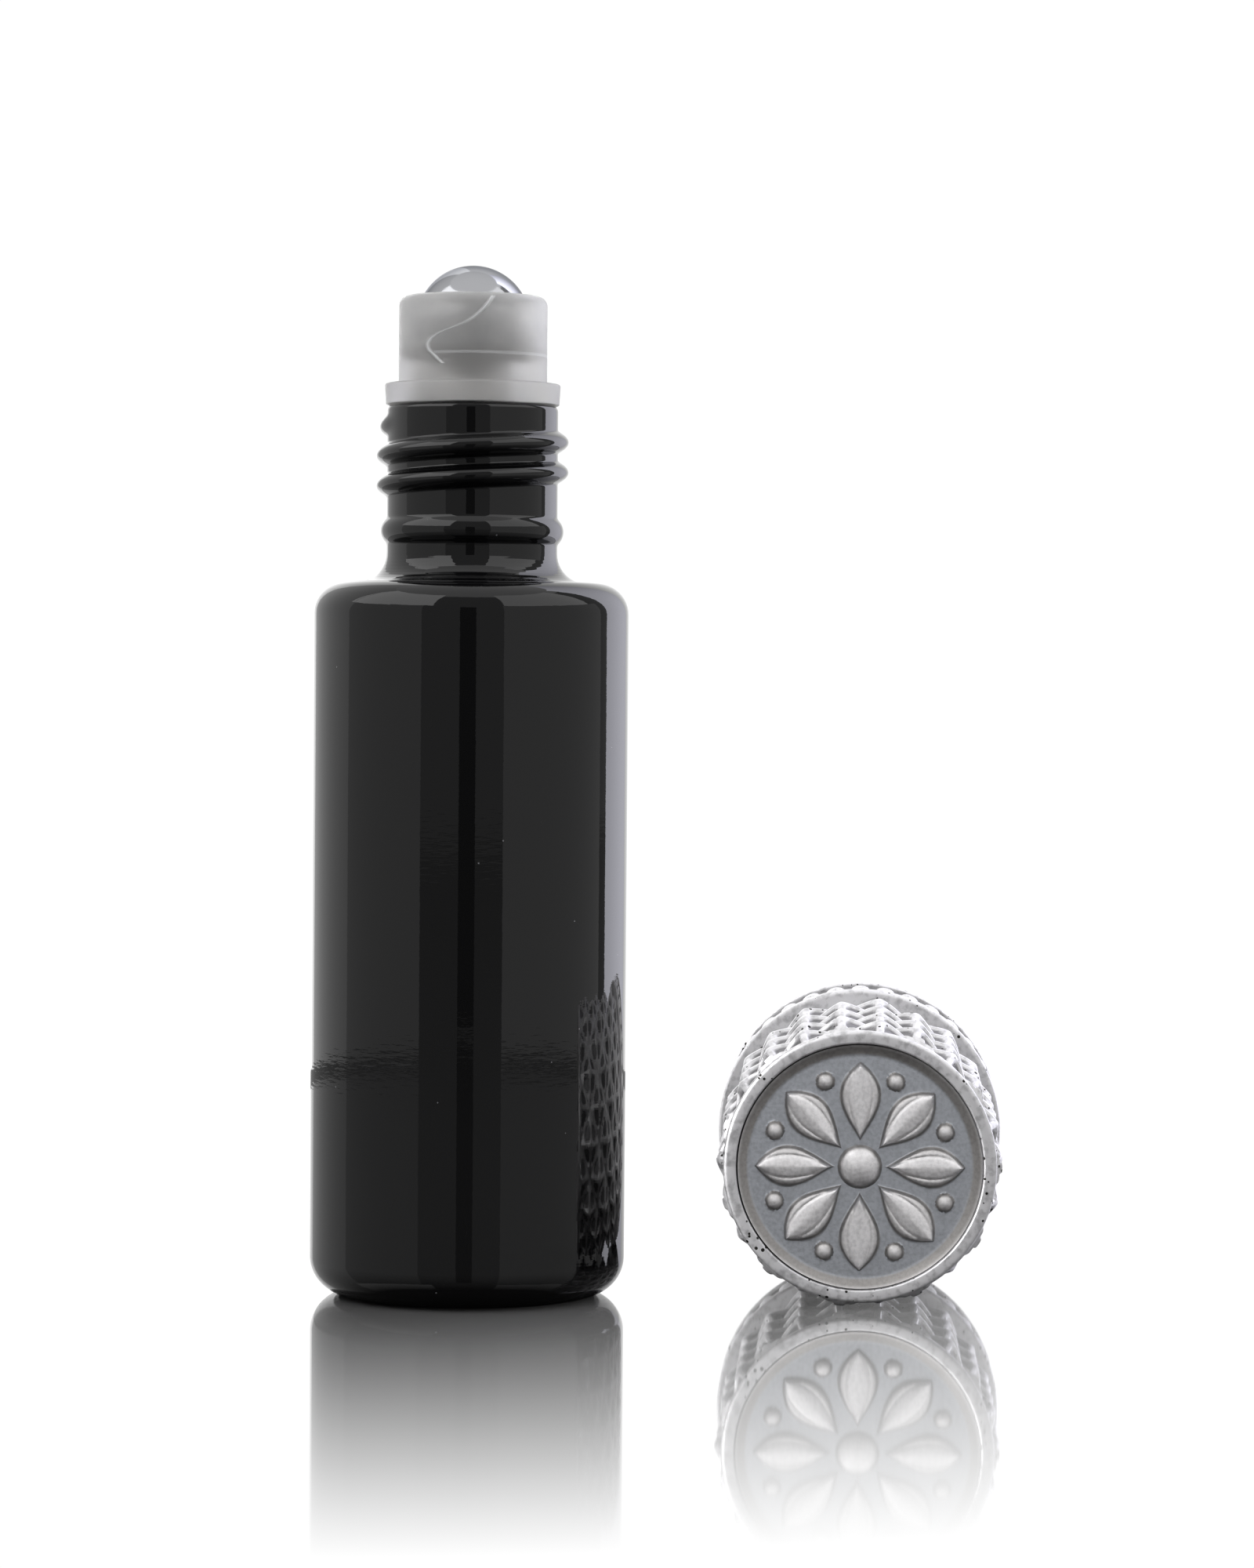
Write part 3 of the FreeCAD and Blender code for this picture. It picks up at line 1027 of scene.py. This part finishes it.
@dataclass
class CapRest:
    """How the cap lies: on its skirt and its foremost whole studs, its end to the front."""

    place_x: float = 28.4
    setback: float = 19.8
    yaw_degrees: float = 2.75
    skirt_radius: float = 10.25
    skirt_contact: float = 6.15
    tip_radius: float = 10.0
    stud_columns: int = 22
    stud_contact: float = 24.775

    def matrix(self) -> Matrix:
        """The turn and shift from the standing cap to the lying one.

        Returns:
            The matrix, in metres.
        """
        resting_radius = self.tip_radius * math.cos(math.pi / self.stud_columns)
        tilt = math.atan2(self.skirt_radius - resting_radius, self.stud_contact - self.skirt_contact)
        lay_down = Matrix.Rotation(math.pi / 2 + tilt, 4, "X")
        swing = Matrix.Rotation(-math.radians(self.yaw_degrees), 4, "Z")
        height = self.skirt_radius * math.cos(tilt) + self.skirt_contact * math.sin(tilt)
        mouth = Vector((self.place_x, self.setback, height)) * MM
        return Matrix.Translation(mouth) @ swing @ lay_down


@dataclass
class CapPiece:
    """A piece of the cap, made standing on the cap's mouth and then laid down."""

    rest: CapRest = field(default_factory=CapRest)

    def lay(self, mesh: Mesh, name: str, finish: Finish, node: str) -> Item:
        """Lay a standing skin down and dress it."""
        bmesh.ops.transform(mesh, matrix=self.rest.matrix(), verts=mesh.verts)
        return make_piece(mesh, name, finish, Body.CAP, node)


@dataclass
class CapShell(CapPiece):
    """The cast cap: panelled skirt, groove, band of diamond-point studs, rim and end recess."""

    bore: float = 7.625
    bore_end: float = 23.45
    mouth_rounding: float = 0.2
    skirt_radius: float = 10.25
    skirt_length: float = 6.5
    skirt_rounding: float = 0.35
    panel_margin: float = 0.95
    panel_depth: float = 0.3
    panel_edge_rounding: float = 0.15
    panel_foot_rounding: float = 0.1
    panel_spacing: float = 0.16
    pearl_count: int = 34
    pearl_half_width: float = 0.72
    pearl_half_length: float = 1.9
    valley_radius: float = 8.85
    stud_height: float = 1.15
    stud_pitch: float = 5.45
    stud_columns: int = 22
    stud_steps: int = 16
    eye_middle: float = 0.58
    eye_reach: float = 0.34
    eye_spread: float = 0.8
    eye_edge: float = 0.5
    eye_depth: float = 0.2
    ridge_softness: float = 0.07
    wave_softness: float = 0.99
    end_bevel: float = 1.1
    groove_length: float = 0.8
    groove_rounding: float = 0.15
    rim_radius: float = 9.35
    rim_length: float = 0.5
    rim_width: float = 0.9
    rim_rounding: float = 0.3
    recess_depth: float = 1.2
    recess_rounding: float = 0.15
    length: float = 28.0
    arc_steps: int = 5
    cast_waviness: float = 0.05
    cast_wave: float = 1.3
    plain_exposure: float = 0.8

    @property
    def panel_radius(self) -> float:
        """Radius of the panel's ground."""
        return self.skirt_radius - self.panel_depth

    @property
    def panel_end(self) -> float:
        """Height where the panel ends."""
        return self.skirt_length - self.panel_margin

    @property
    def band_start(self) -> float:
        """Height where the studs start."""
        return self.skirt_length + self.groove_length

    @property
    def band_end(self) -> float:
        """Height where the studs are cut by the rim."""
        return self.length - self.rim_length

    @property
    def column_angle(self) -> float:
        """Angle between neighbouring columns of studs."""
        return math.tau / self.stud_columns

    @property
    def tip_radius(self) -> float:
        """Radius of the stud tips."""
        return self.valley_radius + self.stud_height

    @property
    def first_angle(self) -> float:
        """Angle of the first column, half a column from the cap's top as it lies."""
        return math.pi / 2 + self.column_angle / 2

    def outline(self) -> Points:
        """The half section from the mouth over the outside to the recess and back inside.

        Returns:
            The (radius, height) points in order.
        """
        recess = self.rim_radius - self.rim_width
        recess_floor = self.length - self.recess_depth
        skirt = [
            Corner(0, self.bore_end),
            Corner(self.bore, self.bore_end),
            Corner(self.bore, 0, self.mouth_rounding),
            Corner(self.skirt_radius, 0, self.skirt_rounding),
            Corner(self.skirt_radius, self.panel_margin, self.panel_edge_rounding),
            Corner(self.panel_radius, self.panel_margin, self.panel_foot_rounding),
            Corner(self.panel_radius, self.panel_end, self.panel_foot_rounding),
            Corner(self.skirt_radius, self.panel_end, self.panel_edge_rounding),
            Corner(self.skirt_radius, self.skirt_length, self.skirt_rounding),
            Corner(self.valley_radius, self.skirt_length, self.groove_rounding),
            Corner(self.valley_radius, self.band_start),
        ]
        rim = [
            Corner(self.rim_radius, self.band_end),
            Corner(self.rim_radius, self.length, self.rim_rounding),
            Corner(recess, self.length, self.recess_rounding),
            Corner(recess, recess_floor, self.recess_rounding),
            Corner(0, recess_floor),
        ]
        skirt_points = rounded_outline(skirt, self.arc_steps)
        panelled = divided(skirt_points, self.panel_margin, self.panel_end, self.panel_spacing)
        step = self.stud_pitch / 2 / self.stud_steps
        rows = math.floor((self.band_end - self.band_start) / step)
        band = [(self.tip_radius, self.band_end - step * row) for row in range(rows, -1, -1)]
        rim_points = rounded_outline(rim, self.arc_steps)
        return panelled + [(self.tip_radius, self.band_start)] + band + rim_points

    def stud_shape(self, angle: float, height: float) -> tuple[float, float]:
        """Where a place lies on its stud.

        Args:
            angle: Angle round the axis.
            height: Height above the cap's mouth.

        Returns:
            How far it is down from the tip, as a share of the way to the valley, and how deep it
            is in the eye-shaped pocket of its facet, from 0 to 1.
        """
        across = (angle - self.first_angle) / self.column_angle
        along = (self.band_end - height) / (self.stud_pitch / 2)
        waves = [math.cos(math.pi * diagonal) for diagonal in (across + along, across - along)]
        slopes = [math.acos(self.wave_softness * wave) / math.pi for wave in waves]
        fall = smooth_max(*slopes, self.ridge_softness)
        off_middle = min(slopes) / max(slopes)
        eye = 1 - ((fall - self.eye_middle) / self.eye_reach) ** 2 - (off_middle / self.eye_spread) ** 2
        return fall, smooth_step(0, self.eye_edge, eye)

    def pearl_share(self, angle: float, height: float) -> float:
        """Height of the row of long pearls in the skirt's panel.

        Args:
            angle: Angle round the axis.
            height: Height above the cap's mouth.

        Returns:
            The rise as a share of the panel's depth.
        """
        around = from_middle(angle, self.pearl_count) * self.skirt_radius / self.pearl_half_width
        along = (height - self.skirt_length / 2) / self.pearl_half_length
        return math.sqrt(max(0.0, 1 - around**2 - along**2))

    def surface(self, radius: float, angle: float, height: float) -> float:
        """The casting's radius at a point of the plain skin.

        Args:
            radius: The plain radius.
            angle: Angle round the axis.
            height: Height above the mouth.

        Returns:
            The radius to use.
        """
        if abs(radius - self.tip_radius) < SAME_PLACE and height > self.skirt_length:
            spot = Vector((radius * math.cos(angle), radius * math.sin(angle), height))
            wave = self.cast_waviness * noise.noise(spot / self.cast_wave)
            fall, eye = self.stud_shape(angle, height)
            bevel = self.rim_radius + self.end_bevel * (self.band_end - height)
            rise = self.stud_height * (1 - fall - self.eye_depth * eye)
            return min(self.valley_radius + rise + wave * fall, bevel)
        if abs(radius - self.panel_radius) < SAME_PLACE and height < self.skirt_length:
            return radius + self.panel_depth * self.pearl_share(angle, height)
        return radius

    def relief(self, place: Vector) -> float:
        """How exposed a place is, for the finish: hollows near 0, which take painted shade, and high
        places near 1.

        Args:
            place: The point in the cap's own frame, in metres.

        Returns:
            The exposure.
        """
        radius = math.hypot(place.x, place.y) / MM
        height = place.z / MM
        # The cap's inside takes full painted shade.
        if radius < self.valley_radius - self.eye_depth * self.stud_height and height < self.band_end:
            return 0.0
        if self.band_start < height < self.band_end - SAME_PLACE:
            _, eye = self.stud_shape(math.atan2(place.y, place.x), height)
            # The eye-shaped pockets of the studs' facets take painted shade.
            return 1 - eye
        if self.panel_margin < height < self.panel_end:
            # The panel's ground between the pearls takes painted shade.
            return min(max((radius - self.panel_radius) / self.panel_depth, 0.0), 1.0)
        return self.plain_exposure

    def build(self) -> Item:
        """Build and dress the casting where it lies.

        Returns:
            The piece.
        """
        mesh = lathe(self.outline(), self.stud_columns * self.stud_steps, first_angle=self.first_angle)
        reshape(mesh, self.surface)
        layer = mesh.verts.layers.float.new("relief")
        for vert in mesh.verts:
            vert[layer] = self.relief(vert.co)
        return self.lay(mesh, "studded_cap_casting", CastMetal(), "cap_shell")


@dataclass
class CapMedallion(CapPiece):
    """The relief disc in the cap's end: a rosette of keeled petals round a boss."""

    back: float = 26.8
    radius: float = 8.35
    thickness: float = 0.7
    border_width: float = 0.75
    border_height: float = 0.35
    border_hollow: float = 1.5
    boss_radius: float = 1.45
    boss_height: float = 0.75
    petal_count: int = 8
    petal_inner: float = 1.75
    petal_length: float = 5.4
    petal_half_width: float = 1.45
    petal_lean: float = 1.3
    petal_fullness: float = 0.8
    petal_height: float = 0.6
    keel_share: float = 0.55
    keel_fullness: float = 1.6
    vein_place: float = 0.55
    vein_half_width: float = 0.16
    vein_share: float = 0.12
    bead_place: float = 6.3
    bead_radius: float = 0.62
    bead_height: float = 0.45
    wall_width: float = 0.3
    steps: int = 400
    ring_spacing: float = 0.09

    def petal_relief(self, radius: float, angle: float) -> float:
        """Height of the petals above the ground.

        Args:
            radius: Distance from the disc's middle.
            angle: Angle round it.

        Returns:
            The rise in millimetres.
        """
        offset = from_middle(angle + math.pi / self.petal_count, self.petal_count)
        share = (radius * math.cos(offset) - self.petal_inner) / self.petal_length
        if not 0 < share < 1:
            return 0.0
        bulge = math.sin(math.pi * share**self.petal_lean) ** self.petal_fullness
        half_width = self.petal_half_width * bulge
        across = abs(radius * math.sin(offset))
        edge = half_width - across
        if edge <= 0:
            return 0.0
        wall = smooth_step(0, self.wall_width, edge)
        keel = 1 - self.keel_share * (across / half_width) ** self.keel_fullness
        from_vein = abs(across - half_width * self.vein_place)
        vein = self.vein_share * smooth_step(-self.vein_half_width, 0, -from_vein)
        return self.petal_height * wall * (keel - vein)

    def relief(self, radius: float, angle: float) -> float:
        """Height of the whole relief above the ground.

        Args:
            radius: Distance from the disc's middle.
            angle: Angle round it.

        Returns:
            The rise in millimetres.
        """
        between = from_middle(angle, self.petal_count)
        spot = (radius * math.cos(between), radius * math.sin(between))
        border = max(0.0, 1 - (self.radius - radius) / self.border_width) ** self.border_hollow
        return max(
            self.petal_relief(radius, angle),
            dome(radius, self.boss_radius, self.boss_height),
            dome(math.dist(spot, (self.bead_place, 0)), self.bead_radius, self.bead_height),
            self.border_height * border,
        )

    def build(self) -> Item:
        """Build and dress the disc where it lies.

        Returns:
            The piece.
        """
        ground = self.back + self.thickness
        rings = math.ceil(self.radius / self.ring_spacing)
        face = [(self.radius * ring / rings, ground) for ring in range(rings + 1)]
        mesh = lathe(face + [(self.radius, self.back), (0, self.back)], self.steps)
        layer = mesh.verts.layers.float.new("relief")
        for vert in mesh.verts:
            if vert.co.z / MM < ground - SAME_PLACE:
                continue
            rise = self.relief(math.hypot(vert.co.x, vert.co.y) / MM, math.atan2(vert.co.y, vert.co.x))
            vert.co.z += rise * MM
            vert[layer] = rise / self.boss_height
        return self.lay(mesh, "rosette_medallion", ReliefMetal(), "cap_medallion")


@dataclass
class CapLining(CapPiece):
    """The moulded lining, with the thread that runs on the neck."""

    bore: float = 6.925
    radius: float = 7.575
    setback: float = 0.6
    ceiling: float = 22.5
    end: float = 23.4
    mouth_rounding: float = 0.1
    end_rounding: float = 0.2
    thread: Thread = Thread(
        rise=0.7,
        pitch=2.1,
        half_width=0.5,
        start_height=2.2,
        start_turns=0.0,
        end_turns=2.6,
        fade_turns=0.15,
    )
    steps: int = 160
    row_spacing: float = 0.15

    def surface(self, radius: float, angle: float, height: float) -> float:
        """The lining's radius at a plain radius, angle and height, with the thread in its bore."""
        in_bore = abs(radius - self.bore) <= SAME_PLACE
        return radius - self.thread.rise_at(angle, height) if in_bore else radius

    def build(self) -> Item:
        """Build and dress the lining where it lies.

        Returns:
            The piece.
        """
        thread_end = self.thread.start_height + self.thread.pitch * (self.thread.end_turns + 1)
        mouth = Corner(self.bore, self.setback)
        ceiling = [Corner(0, self.ceiling), Corner(self.bore, self.ceiling)]
        inside = ceiling + [Corner(self.bore, thread_end), mouth]
        outside = [
            mouth,
            Corner(self.radius, self.setback, self.mouth_rounding),
            Corner(self.radius, self.end, self.end_rounding),
            Corner(0, self.end),
        ]
        threaded = divided(rounded_outline(inside), self.setback, thread_end, self.row_spacing)
        mesh = lathe(threaded + rounded_outline(outside)[1:], self.steps)
        reshape(mesh, self.surface)
        return self.lay(mesh, "threaded_cap_lining", LiningPlastic(), "cap_thread_insert")


@dataclass
class CapSealPad(CapPiece):
    """The foam disc under the lining's ceiling, with the ball's dent in its face."""

    radius: float = 6.825
    face: float = 21.5
    thickness: float = 1.0
    edge: float = 0.18
    dent_radius: float = 1.9
    dent_rounding: float = 0.95
    dent_depth: float = 0.18
    steps: int = 96

    def build(self) -> Item:
        """Build and dress the pad where it lies.

        Returns:
            The piece.
        """
        back = self.face + self.thickness
        corners = [
            Corner(0, back),
            Corner(self.radius, back, self.edge),
            Corner(self.radius, self.face, self.edge),
            Corner(self.dent_radius, self.face, self.dent_rounding),
            Corner(0, self.face + self.dent_depth),
        ]
        mesh = lathe(rounded_outline(corners), self.steps)
        return self.lay(mesh, "seal_pad_disc", PadFoam(), "cap_seal_pad")


@dataclass(frozen=True)
class TentWall:
    """One upright stretch of the light tent, between two bearings from the front."""

    name: str
    start_degrees: float
    end_degrees: float
    brightness: float
    end_brightness: float | None = None
    foot: float = 1.0
    height: float = 330.0
    distance: float = 165.0
    tint: str = WHITE
    steps: int = 24

    @property
    def start(self) -> float:
        """The first bearing, in radians."""
        return math.radians(self.start_degrees)

    @property
    def sweep(self) -> float:
        """The angle that the wall spans, in radians."""
        return math.radians(self.end_degrees - self.start_degrees)

    def radiance_at(self, place: Vector) -> float:
        """The wall's radiance at a point, by its bearing along the wall.

        Args:
            place: The point.

        Returns:
            The radiance, where 1 is the picture's white.
        """
        if self.end_brightness is None:
            return self.brightness
        bearing = math.atan2(place.x, -place.y)
        share = (bearing - self.start + SAME_BEARING) % math.tau / self.sweep
        return self.brightness + (self.end_brightness - self.brightness) * share


@dataclass(frozen=True)
class SoftFill:
    """A soft lamp that lights one piece alone."""

    name: str
    piece: str
    place: Place
    aim: Place
    size: float
    watts: float


@dataclass
class Studio:
    """A small light tent on a glossy white floor, and the camera in front of it."""

    floor_radius: float = 1500.0
    floor_segments: int = 96
    floor_mirror: float = 0.86
    floor_roughness: float = 0.04
    floor_glance: float = 0.6
    glance_span: tuple[float, float] = (0.2, 0.8)
    floor_base: float = 0.07
    fade_start: float = 14.0
    fade_end: float = 104.0
    fade_power: float = 1.8
    floor_middle: tuple[float, float] = (-10.0, 6.0)
    roof_height: float = 330.0
    roof_radius: float = 200.0
    roof_segments: int = 48
    roof_brightness: float = 1.0
    surround: float = 0.33
    white_level: float = 1.02
    camera_place: Place = (10.96, -323.0, 43.8)
    camera_pitch_degrees: float = 1.441
    camera_roll_degrees: float = 0.447
    camera_clip: float = 10.0
    focal_pixels: float = 5900.0
    frame_height_pixels: float = 2000.0
    sensor: float = 36.0
    fills: tuple[SoftFill, ...] = (
        SoftFill("cap_side_fill", "studded_cap_casting", (-130, -60, 60), (26, 0, 10), 120, 0.3),
        SoftFill("medallion_fill", "rosette_medallion", (10, -170, 60), (28, -8, 10), 200, 0.09),
        SoftFill("barrel_fill", "roller_plug_fitment", (120, 20, 75), (0, 0, 67), 60, 0.035),
    )
    walls: tuple[TentWall, ...] = (
        TentWall("camera_card", -6.0, 5.5, 0.08, height=110.0, distance=200.0),
        TentWall("left_upper_wall", -100.0, -26.0, 2.2, foot=115.0),
        TentWall("right_upper_wall", 26.0, 100.0, 1.6, foot=115.0),
        TentWall("left_front_wall", -95.0, -33.0, 0.58, height=115.0),
        TentWall("left_rear_wall", -150.0, -95.0, 0.88),
        TentWall("left_back_wall", -172.0, -150.0, 2.0, 1.6),
        TentWall("right_front_wall", 25.0, 108.0, 0.6, height=115.0),
        TentWall("right_rear_wall", 116.0, 154.0, 3.5, 1.2, tint="#F4F4FF"),
        TentWall("back_wall", 154.0, 188.0, 1.2),
    )

    def add_light_surface(
        self, mesh: Mesh, name: str, tint: str, radiance_at: Callable[[Vector], float]
    ) -> None:
        """Add a luminous surface that lights and reflects but isn't itself in view.

        Args:
            mesh: Its skin, which is freed.
            name: Its name.
            tint: Its colour.
            radiance_at: Gives the radiance at a point, where 1 is the picture's white.
        """
        layer = mesh.verts.layers.float.new("radiance")
        for vert in mesh.verts:
            vert[layer] = radiance_at(vert.co)
        material = bpy.data.materials.new(name)
        nodes = Nodes(material)
        radiance = nodes.add("Attribute", output="Fac", attribute_name="radiance")
        light = nodes.add("Emission", {"Color": linear(tint), "Strength": radiance})
        nodes.add("OutputMaterial", {"Surface": light})
        item = add_object(mesh, name, material)
        item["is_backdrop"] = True
        item.visible_camera = False
        item.visible_shadow = False

    def add_wall(self, wall: TentWall) -> None:
        """Add one stretch of the tent's wall, curved round the bottle.

        Args:
            wall: The stretch.
        """
        mesh = bmesh.new()
        foot = Vector((math.sin(wall.start), -math.cos(wall.start), 0)) * wall.distance * MM
        verts = [mesh.verts.new(foot + Vector((0, 0, z * MM))) for z in (wall.foot, wall.height)]
        edge = mesh.edges.new(verts)
        bmesh.ops.spin(mesh, geom=[*verts, edge], axis=(0, 0, 1), angle=wall.sweep, steps=wall.steps)
        self.add_light_surface(mesh, wall.name, wall.tint, wall.radiance_at)

    def add_roof(self) -> None:
        """Add the tent's roof."""
        mesh = bmesh.new()
        place = Matrix.Translation((0, 0, self.roof_height * MM))
        radius = self.roof_radius * MM
        bmesh.ops.create_circle(
            mesh, cap_ends=True, segments=self.roof_segments, radius=radius, matrix=place
        )
        self.add_light_surface(mesh, "tent_roof", WHITE, lambda _: self.roof_brightness)

    def add_floor(self) -> None:
        """Add the glossy white floor, which fades to plain white away from the bottle.

        It mirrors what the camera sees in it. In the pieces' own reflections it shines at a
        glancing angle alone, as a gloss sheet does.
        """
        mesh = bmesh.new()
        radius = self.floor_radius * MM
        bmesh.ops.create_circle(mesh, cap_ends=True, segments=self.floor_segments, radius=radius)
        material = bpy.data.materials.new("glossy_white_floor")
        nodes = Nodes(material)
        seen = nodes.add("LightPath", output="Is Camera Ray")
        facing = nodes.add("LayerWeight", output="Facing")
        glance = nodes.add(
            "MapRange",
            {
                "Value": facing,
                "From Min": self.glance_span[0],
                "From Max": self.glance_span[1],
                "To Max": self.floor_glance,
            },
        )
        shine = nodes.add("MapRange", {"Value": seen, "To Min": glance, "To Max": self.floor_mirror})
        mirror = nodes.add("BsdfAnisotropic", {"Color": shine, "Roughness": self.floor_roughness})
        base = nodes.add("BsdfDiffuse", {"Color": grey(self.floor_base)})
        gloss = nodes.add("AddShader", {0: mirror, 1: base})
        white = nodes.add("Emission", {"Color": grey(1.0), "Strength": self.white_level})
        middle = Vector((*self.floor_middle, 0)) * MM
        away = nodes.add("VectorMath", {0: nodes.place, 1: middle}, operation="DISTANCE")
        fade = nodes.add(
            "MapRange", {"Value": away, "From Min": self.fade_start * MM, "From Max": self.fade_end * MM}
        )
        slow = nodes.add("Math", {0: fade, 1: self.fade_power}, operation="POWER")
        share = nodes.add("Math", {0: slow, 1: seen}, operation="MULTIPLY")
        floor = nodes.add("MixShader", {0: share, 1: gloss, 2: white})
        nodes.add("OutputMaterial", {"Surface": floor})
        add_object(mesh, "studio_floor", material)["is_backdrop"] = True

    def add_world(self) -> None:
        """Make the room beyond the tent: plain white to look at, dim in reflections."""
        world = bpy.data.worlds.new("studio_surround")
        nodes = Nodes(world)
        seen = nodes.add("LightPath", output="Is Camera Ray")
        level = nodes.add("MapRange", {"Value": seen, "To Min": self.surround, "To Max": self.white_level})
        light = nodes.add("Background", {"Color": grey(1.0), "Strength": level})
        nodes.add("OutputWorld", {"Surface": light})
        bpy.context.scene.world = world

    def add_fill(self, fill: SoftFill, piece: Item) -> None:
        """Add a lamp that lights the shaded sides of a piece and leaves the others alone.

        Args:
            fill: The lamp.
            piece: The piece.
        """
        data = bpy.data.lights.new(fill.name, "AREA")
        data.size = fill.size * MM
        data.energy = fill.watts
        lamp = bpy.data.objects.new(fill.name, data)
        start = Vector(fill.place) * MM
        aim = (Vector(fill.aim) * MM - start).to_track_quat("-Z", "Y")
        lamp.matrix_world = Matrix.Translation(start) @ aim.to_matrix().to_4x4()
        bpy.context.scene.collection.objects.link(lamp)
        lit = bpy.data.collections.new(fill.name)
        lit.objects.link(piece)
        lamp.light_linking.receiver_collection = lit
        lamp.light_linking.blocker_collection = lit

    def add_camera(self) -> None:
        """Add the camera where the photograph was taken from."""
        data = bpy.data.cameras.new("photo_camera")
        data.sensor_width = self.sensor
        data.lens = self.sensor * self.focal_pixels / self.frame_height_pixels
        data.clip_start = self.camera_clip * MM
        camera = bpy.data.objects.new("photo_camera", data)
        level = Matrix.Rotation(math.pi / 2 - math.radians(self.camera_pitch_degrees), 4, "X")
        roll = Matrix.Rotation(math.radians(self.camera_roll_degrees), 4, "Z")
        camera.matrix_world = Matrix.Translation(Vector(self.camera_place) * MM) @ level @ roll
        bpy.context.scene.collection.objects.link(camera)
        bpy.context.scene.camera = camera

    def build(self, pieces: dict[str, Item]) -> None:
        """Build the lamps, the tent, the floor and the camera.

        Args:
            pieces: Every piece, by its name.
        """
        for fill in self.fills:
            self.add_fill(fill, pieces[fill.piece])
        self.add_world()
        self.add_floor()
        self.add_roof()
        for wall in self.walls:
            self.add_wall(wall)
        self.add_camera()
        view = bpy.context.scene.view_settings
        view.view_transform = "Standard"
        view.look = "None"


def write_sizes() -> None:
    """Work out the solids' box and the dressed model's box; the result isn't kept."""
    boxes = {"cad": CAD_BOX, "visual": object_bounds()}
    {name: [list(corner) for corner in box] for name, box in boxes.items()}


def main() -> None:
    """Build every piece in order, then the studio."""
    logging.basicConfig(level=logging.INFO, format="%(name)s: %(message)s")
    bottle = (GlassBottle(), RollerHousing(), RollerBall())
    cap = (CapShell(), CapMedallion(), CapLining(), CapSealPad())
    pieces = [builder.build() for builder in bottle + cap]
    Studio().build({piece.name: piece for piece in pieces})
    write_sizes()


if __name__ == "__main__":
    main()
